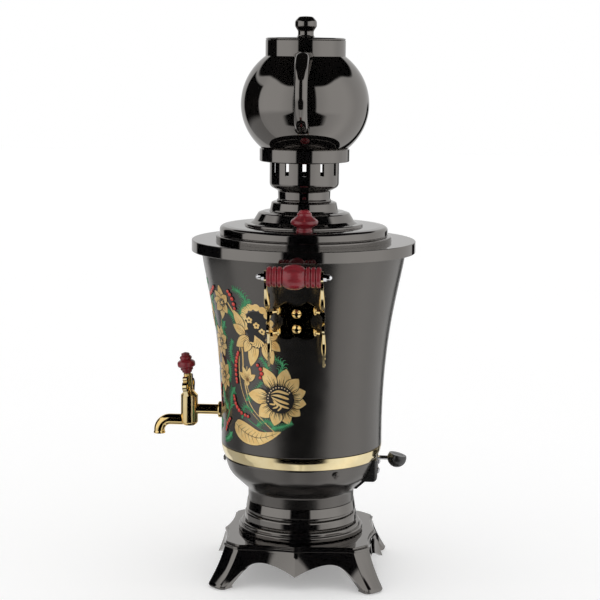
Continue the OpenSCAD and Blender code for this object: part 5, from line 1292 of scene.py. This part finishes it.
def make_ornament():
    """Flowers, leaves, berries and fronds beside the tap, in places u (arc) and z on the tank."""
    art = Painting()
    for paint, points, width, steps in STEMS:
        art.stroke(paint, points, width, "stem", 1, steps)
    paint_large_flower(art)
    paint_arched_flower(art)
    for degrees, length, width in ((75, 12, 5.2), (112, 13, 5.2), (145, 11, 5.2), (35, 10, 5.2), (255, 5, 5)):
        art.petal((66, 178), degrees, 0, length, width, 3)
    for bloom in BLOOMS:
        art.bloom(*bloom)
    art.leaf([(49, 139), (62, 132.5), (78, 130), (97, 136.8)], 17, 9)
    art.leaf([(8, 183), (14, 190), (21, 200), (22, 212)], 8, 5)
    for points in BERRIES:
        art.berries(points)
    for points, width in FRONDS:
        art.feather(points, width)
    art.pieces()


make_stand()
make_pedestal()
make_bowl()
make_band()
make_tank()
make_brim()
make_lid()
make_lid_knobs()
make_crown()
make_teapot()
make_teapot_handle()
make_teapot_lid()
make_grips()
make_cheek_relief()
soften_small_pieces()
make_ornament()


# Studio --------------------------------------------------------------------------------------

CAMERA_TURN = math.radians(3.7)
CAMERA_RISE = math.radians(8.3)
CAMERA_ROLL = math.radians(0.6)
CAMERA_RANGE = 1.512
AIM = Vector((0.0, -0.0026, 0.2385))

# Focal length over picture width
LENS_RATIO = 1750 / 600
SENSOR = 36


def make_camera():
    data = bpy.data.cameras.new("camera")
    data.sensor_width = SENSOR
    data.lens = SENSOR * LENS_RATIO
    cam = bpy.data.objects.new("camera", data)
    bpy.context.scene.collection.objects.link(cam)
    level, height = polar((0, 0), CAMERA_RISE, 1)
    back = Vector((*polar((0, 0), CAMERA_TURN, level), height))
    look = (-back).to_track_quat("-Z", "Y").to_matrix().to_4x4()
    roll = Matrix.Rotation(CAMERA_ROLL, 4, "Z")
    cam.matrix_world = Matrix.Translation(AIM + back * CAMERA_RANGE) @ look @ roll
    bpy.context.scene.camera = cam


WORLD_LIGHT = 0.85
FLOOR_WHITE = 0.92
FLOOR_SHOWN = 1.01


def make_world():
    """Even light, and plain white wherever the camera, a reflection or a see-through ray looks."""
    world = bpy.data.worlds.new("studio")
    bpy.context.scene.world = world
    world.cycles.sampling_method = "NONE"
    world.use_nodes = True
    tree = world.node_tree
    path = add_node(tree, "LightPath", {}).outputs
    white = path["Is Camera Ray"]
    for ray in ("Is Glossy Ray", "Is Transmission Ray"):
        white = add_node(tree, "Math", {0: white, 1: path[ray]}, operation="MAXIMUM").outputs[0]
    strength = add_node(tree, "MapRange", {"To Min": WORLD_LIGHT, "To Max": 1.0, "Value": white})
    feed(tree, tree.nodes["Background"], {"Color": (1, 1, 1, 1), "Strength": strength.outputs["Result"]})


def studio_dark(turn, rise):
    """How dark the studio is in a direction, 0 to 1, as reflections show it. Degrees; turn is from
    the camera's side, positive to the picture's right."""
    wide = ramp(-rise, 9, 18)
    half = 21 + 19 * wide
    half *= math.sqrt(max(0.0, 1 - ramp(-rise, 33, 43) ** 2)) if rise < -33 else 1
    front = 1 - ramp(abs(turn + 1) - half, -2.5 - 6 * wide, 2.5 + 6 * wide)
    box_top = 38 + 6 * ramp(abs(turn), 35, 75) - 12 * ramp(abs(turn), 85, 125)
    ceiling = ramp(rise - box_top, -2, 2)
    # Painted shade: straight below, reflections see dark where the floor lies in the object's own shadow.
    under = ramp(-rise, 66, 76)
    left_back = between(-turn, 88, 92, 137, 143) * (1 - ramp(rise, 27, 30)) * (1 - 0.4 * ramp(-rise, 10, 20))
    right_back = between(turn, 143, 147, 156, 161) * (1 - ramp(rise, 0, 5))
    box_edge = 0.2 * ramp(abs(abs(turn) - 62), 12, 45)
    dim_left = 0.3 * between(-turn, 5, 25, 88, 92) * ramp(-rise, 4, 14)
    dim_near = 0.22 * between(turn, 0, 10, 35, 85) * ramp(-rise, 8, 16)
    return max(front, ceiling, under, left_back, right_back, min(0.5, box_edge + dim_left + dim_near))


def make_studio():
    """A sphere round the object that only reflections meet: clear where the studio is white, dark
    where its flags, the camera's side and the ceiling are, and dark straight below as painted shade of the
    floor in the object's shadow."""
    made = bpy.data.materials.new("studio_flags")
    made.use_nodes = True
    tree = made.node_tree
    tree.nodes.clear()
    cover = add_node(tree, "Attribute", {}, attribute_name="cover").outputs["Fac"]
    clear = add_node(tree, "BsdfTransparent", {}).outputs[0]
    dark = add_node(tree, "Emission", {"Strength": 0.0}).outputs[0]
    mixed = add_node(tree, "MixShader", {"Fac": cover, 1: clear, 2: dark})
    add_node(tree, "OutputMaterial", {"Surface": mixed.outputs[0]})
    reach, centre_z, columns, rows = 2.6, 0.25, 240, 120
    points, covers = [], []
    for j in range(rows + 1):
        rise = -90 + 180 * j / rows
        level, height = polar((0, centre_z), math.radians(rise), reach)
        for i in range(columns):
            turn = -180 + 360 * i / columns
            points.append((*polar((0, 0), CAMERA_TURN + math.radians(turn), level), height))
            covers.append(studio_dark(turn, rise))
    shell = mesh_object("studio_flags", points, grid_faces(rows + 1, columns), made)
    attribute = shell.data.attributes.new("cover", "FLOAT", "POINT")
    attribute.data.foreach_set("value", covers)
    for kind in ("camera", "diffuse", "shadow", "transmission"):
        setattr(shell, "visible_" + kind, False)


def make_floor():
    """A pale floor that the camera sees as white where nothing shades it."""
    made = Finish("floor", grey(FLOOR_WHITE), 0.9, ior=1.2)
    made.vary_colour(3, grey(FLOOR_WHITE - 0.004), grey(FLOOR_WHITE + 0.004))
    camera_ray = add_node(made.tree, "LightPath", {}).outputs["Is Camera Ray"]
    glow = {0: camera_ray, 1: FLOOR_SHOWN - FLOOR_WHITE * WORLD_LIGHT}
    glow = add_node(made.tree, "Math", glow, operation="MULTIPLY").outputs[0]
    made.set({"Emission Color": (1, 1, 1, 1), "Emission Strength": glow})
    reach = 6.0
    corners = [(-reach, -reach, 0), (reach, -reach, 0), (reach, reach, 0), (-reach, reach, 0)]
    floor = mesh_object("floor", corners, [(0, 1, 2, 3)], made.made)
    floor.visible_glossy = False


make_camera()
make_world()
make_floor()
make_studio()

bpy.context.scene.view_settings.view_transform = "Standard"
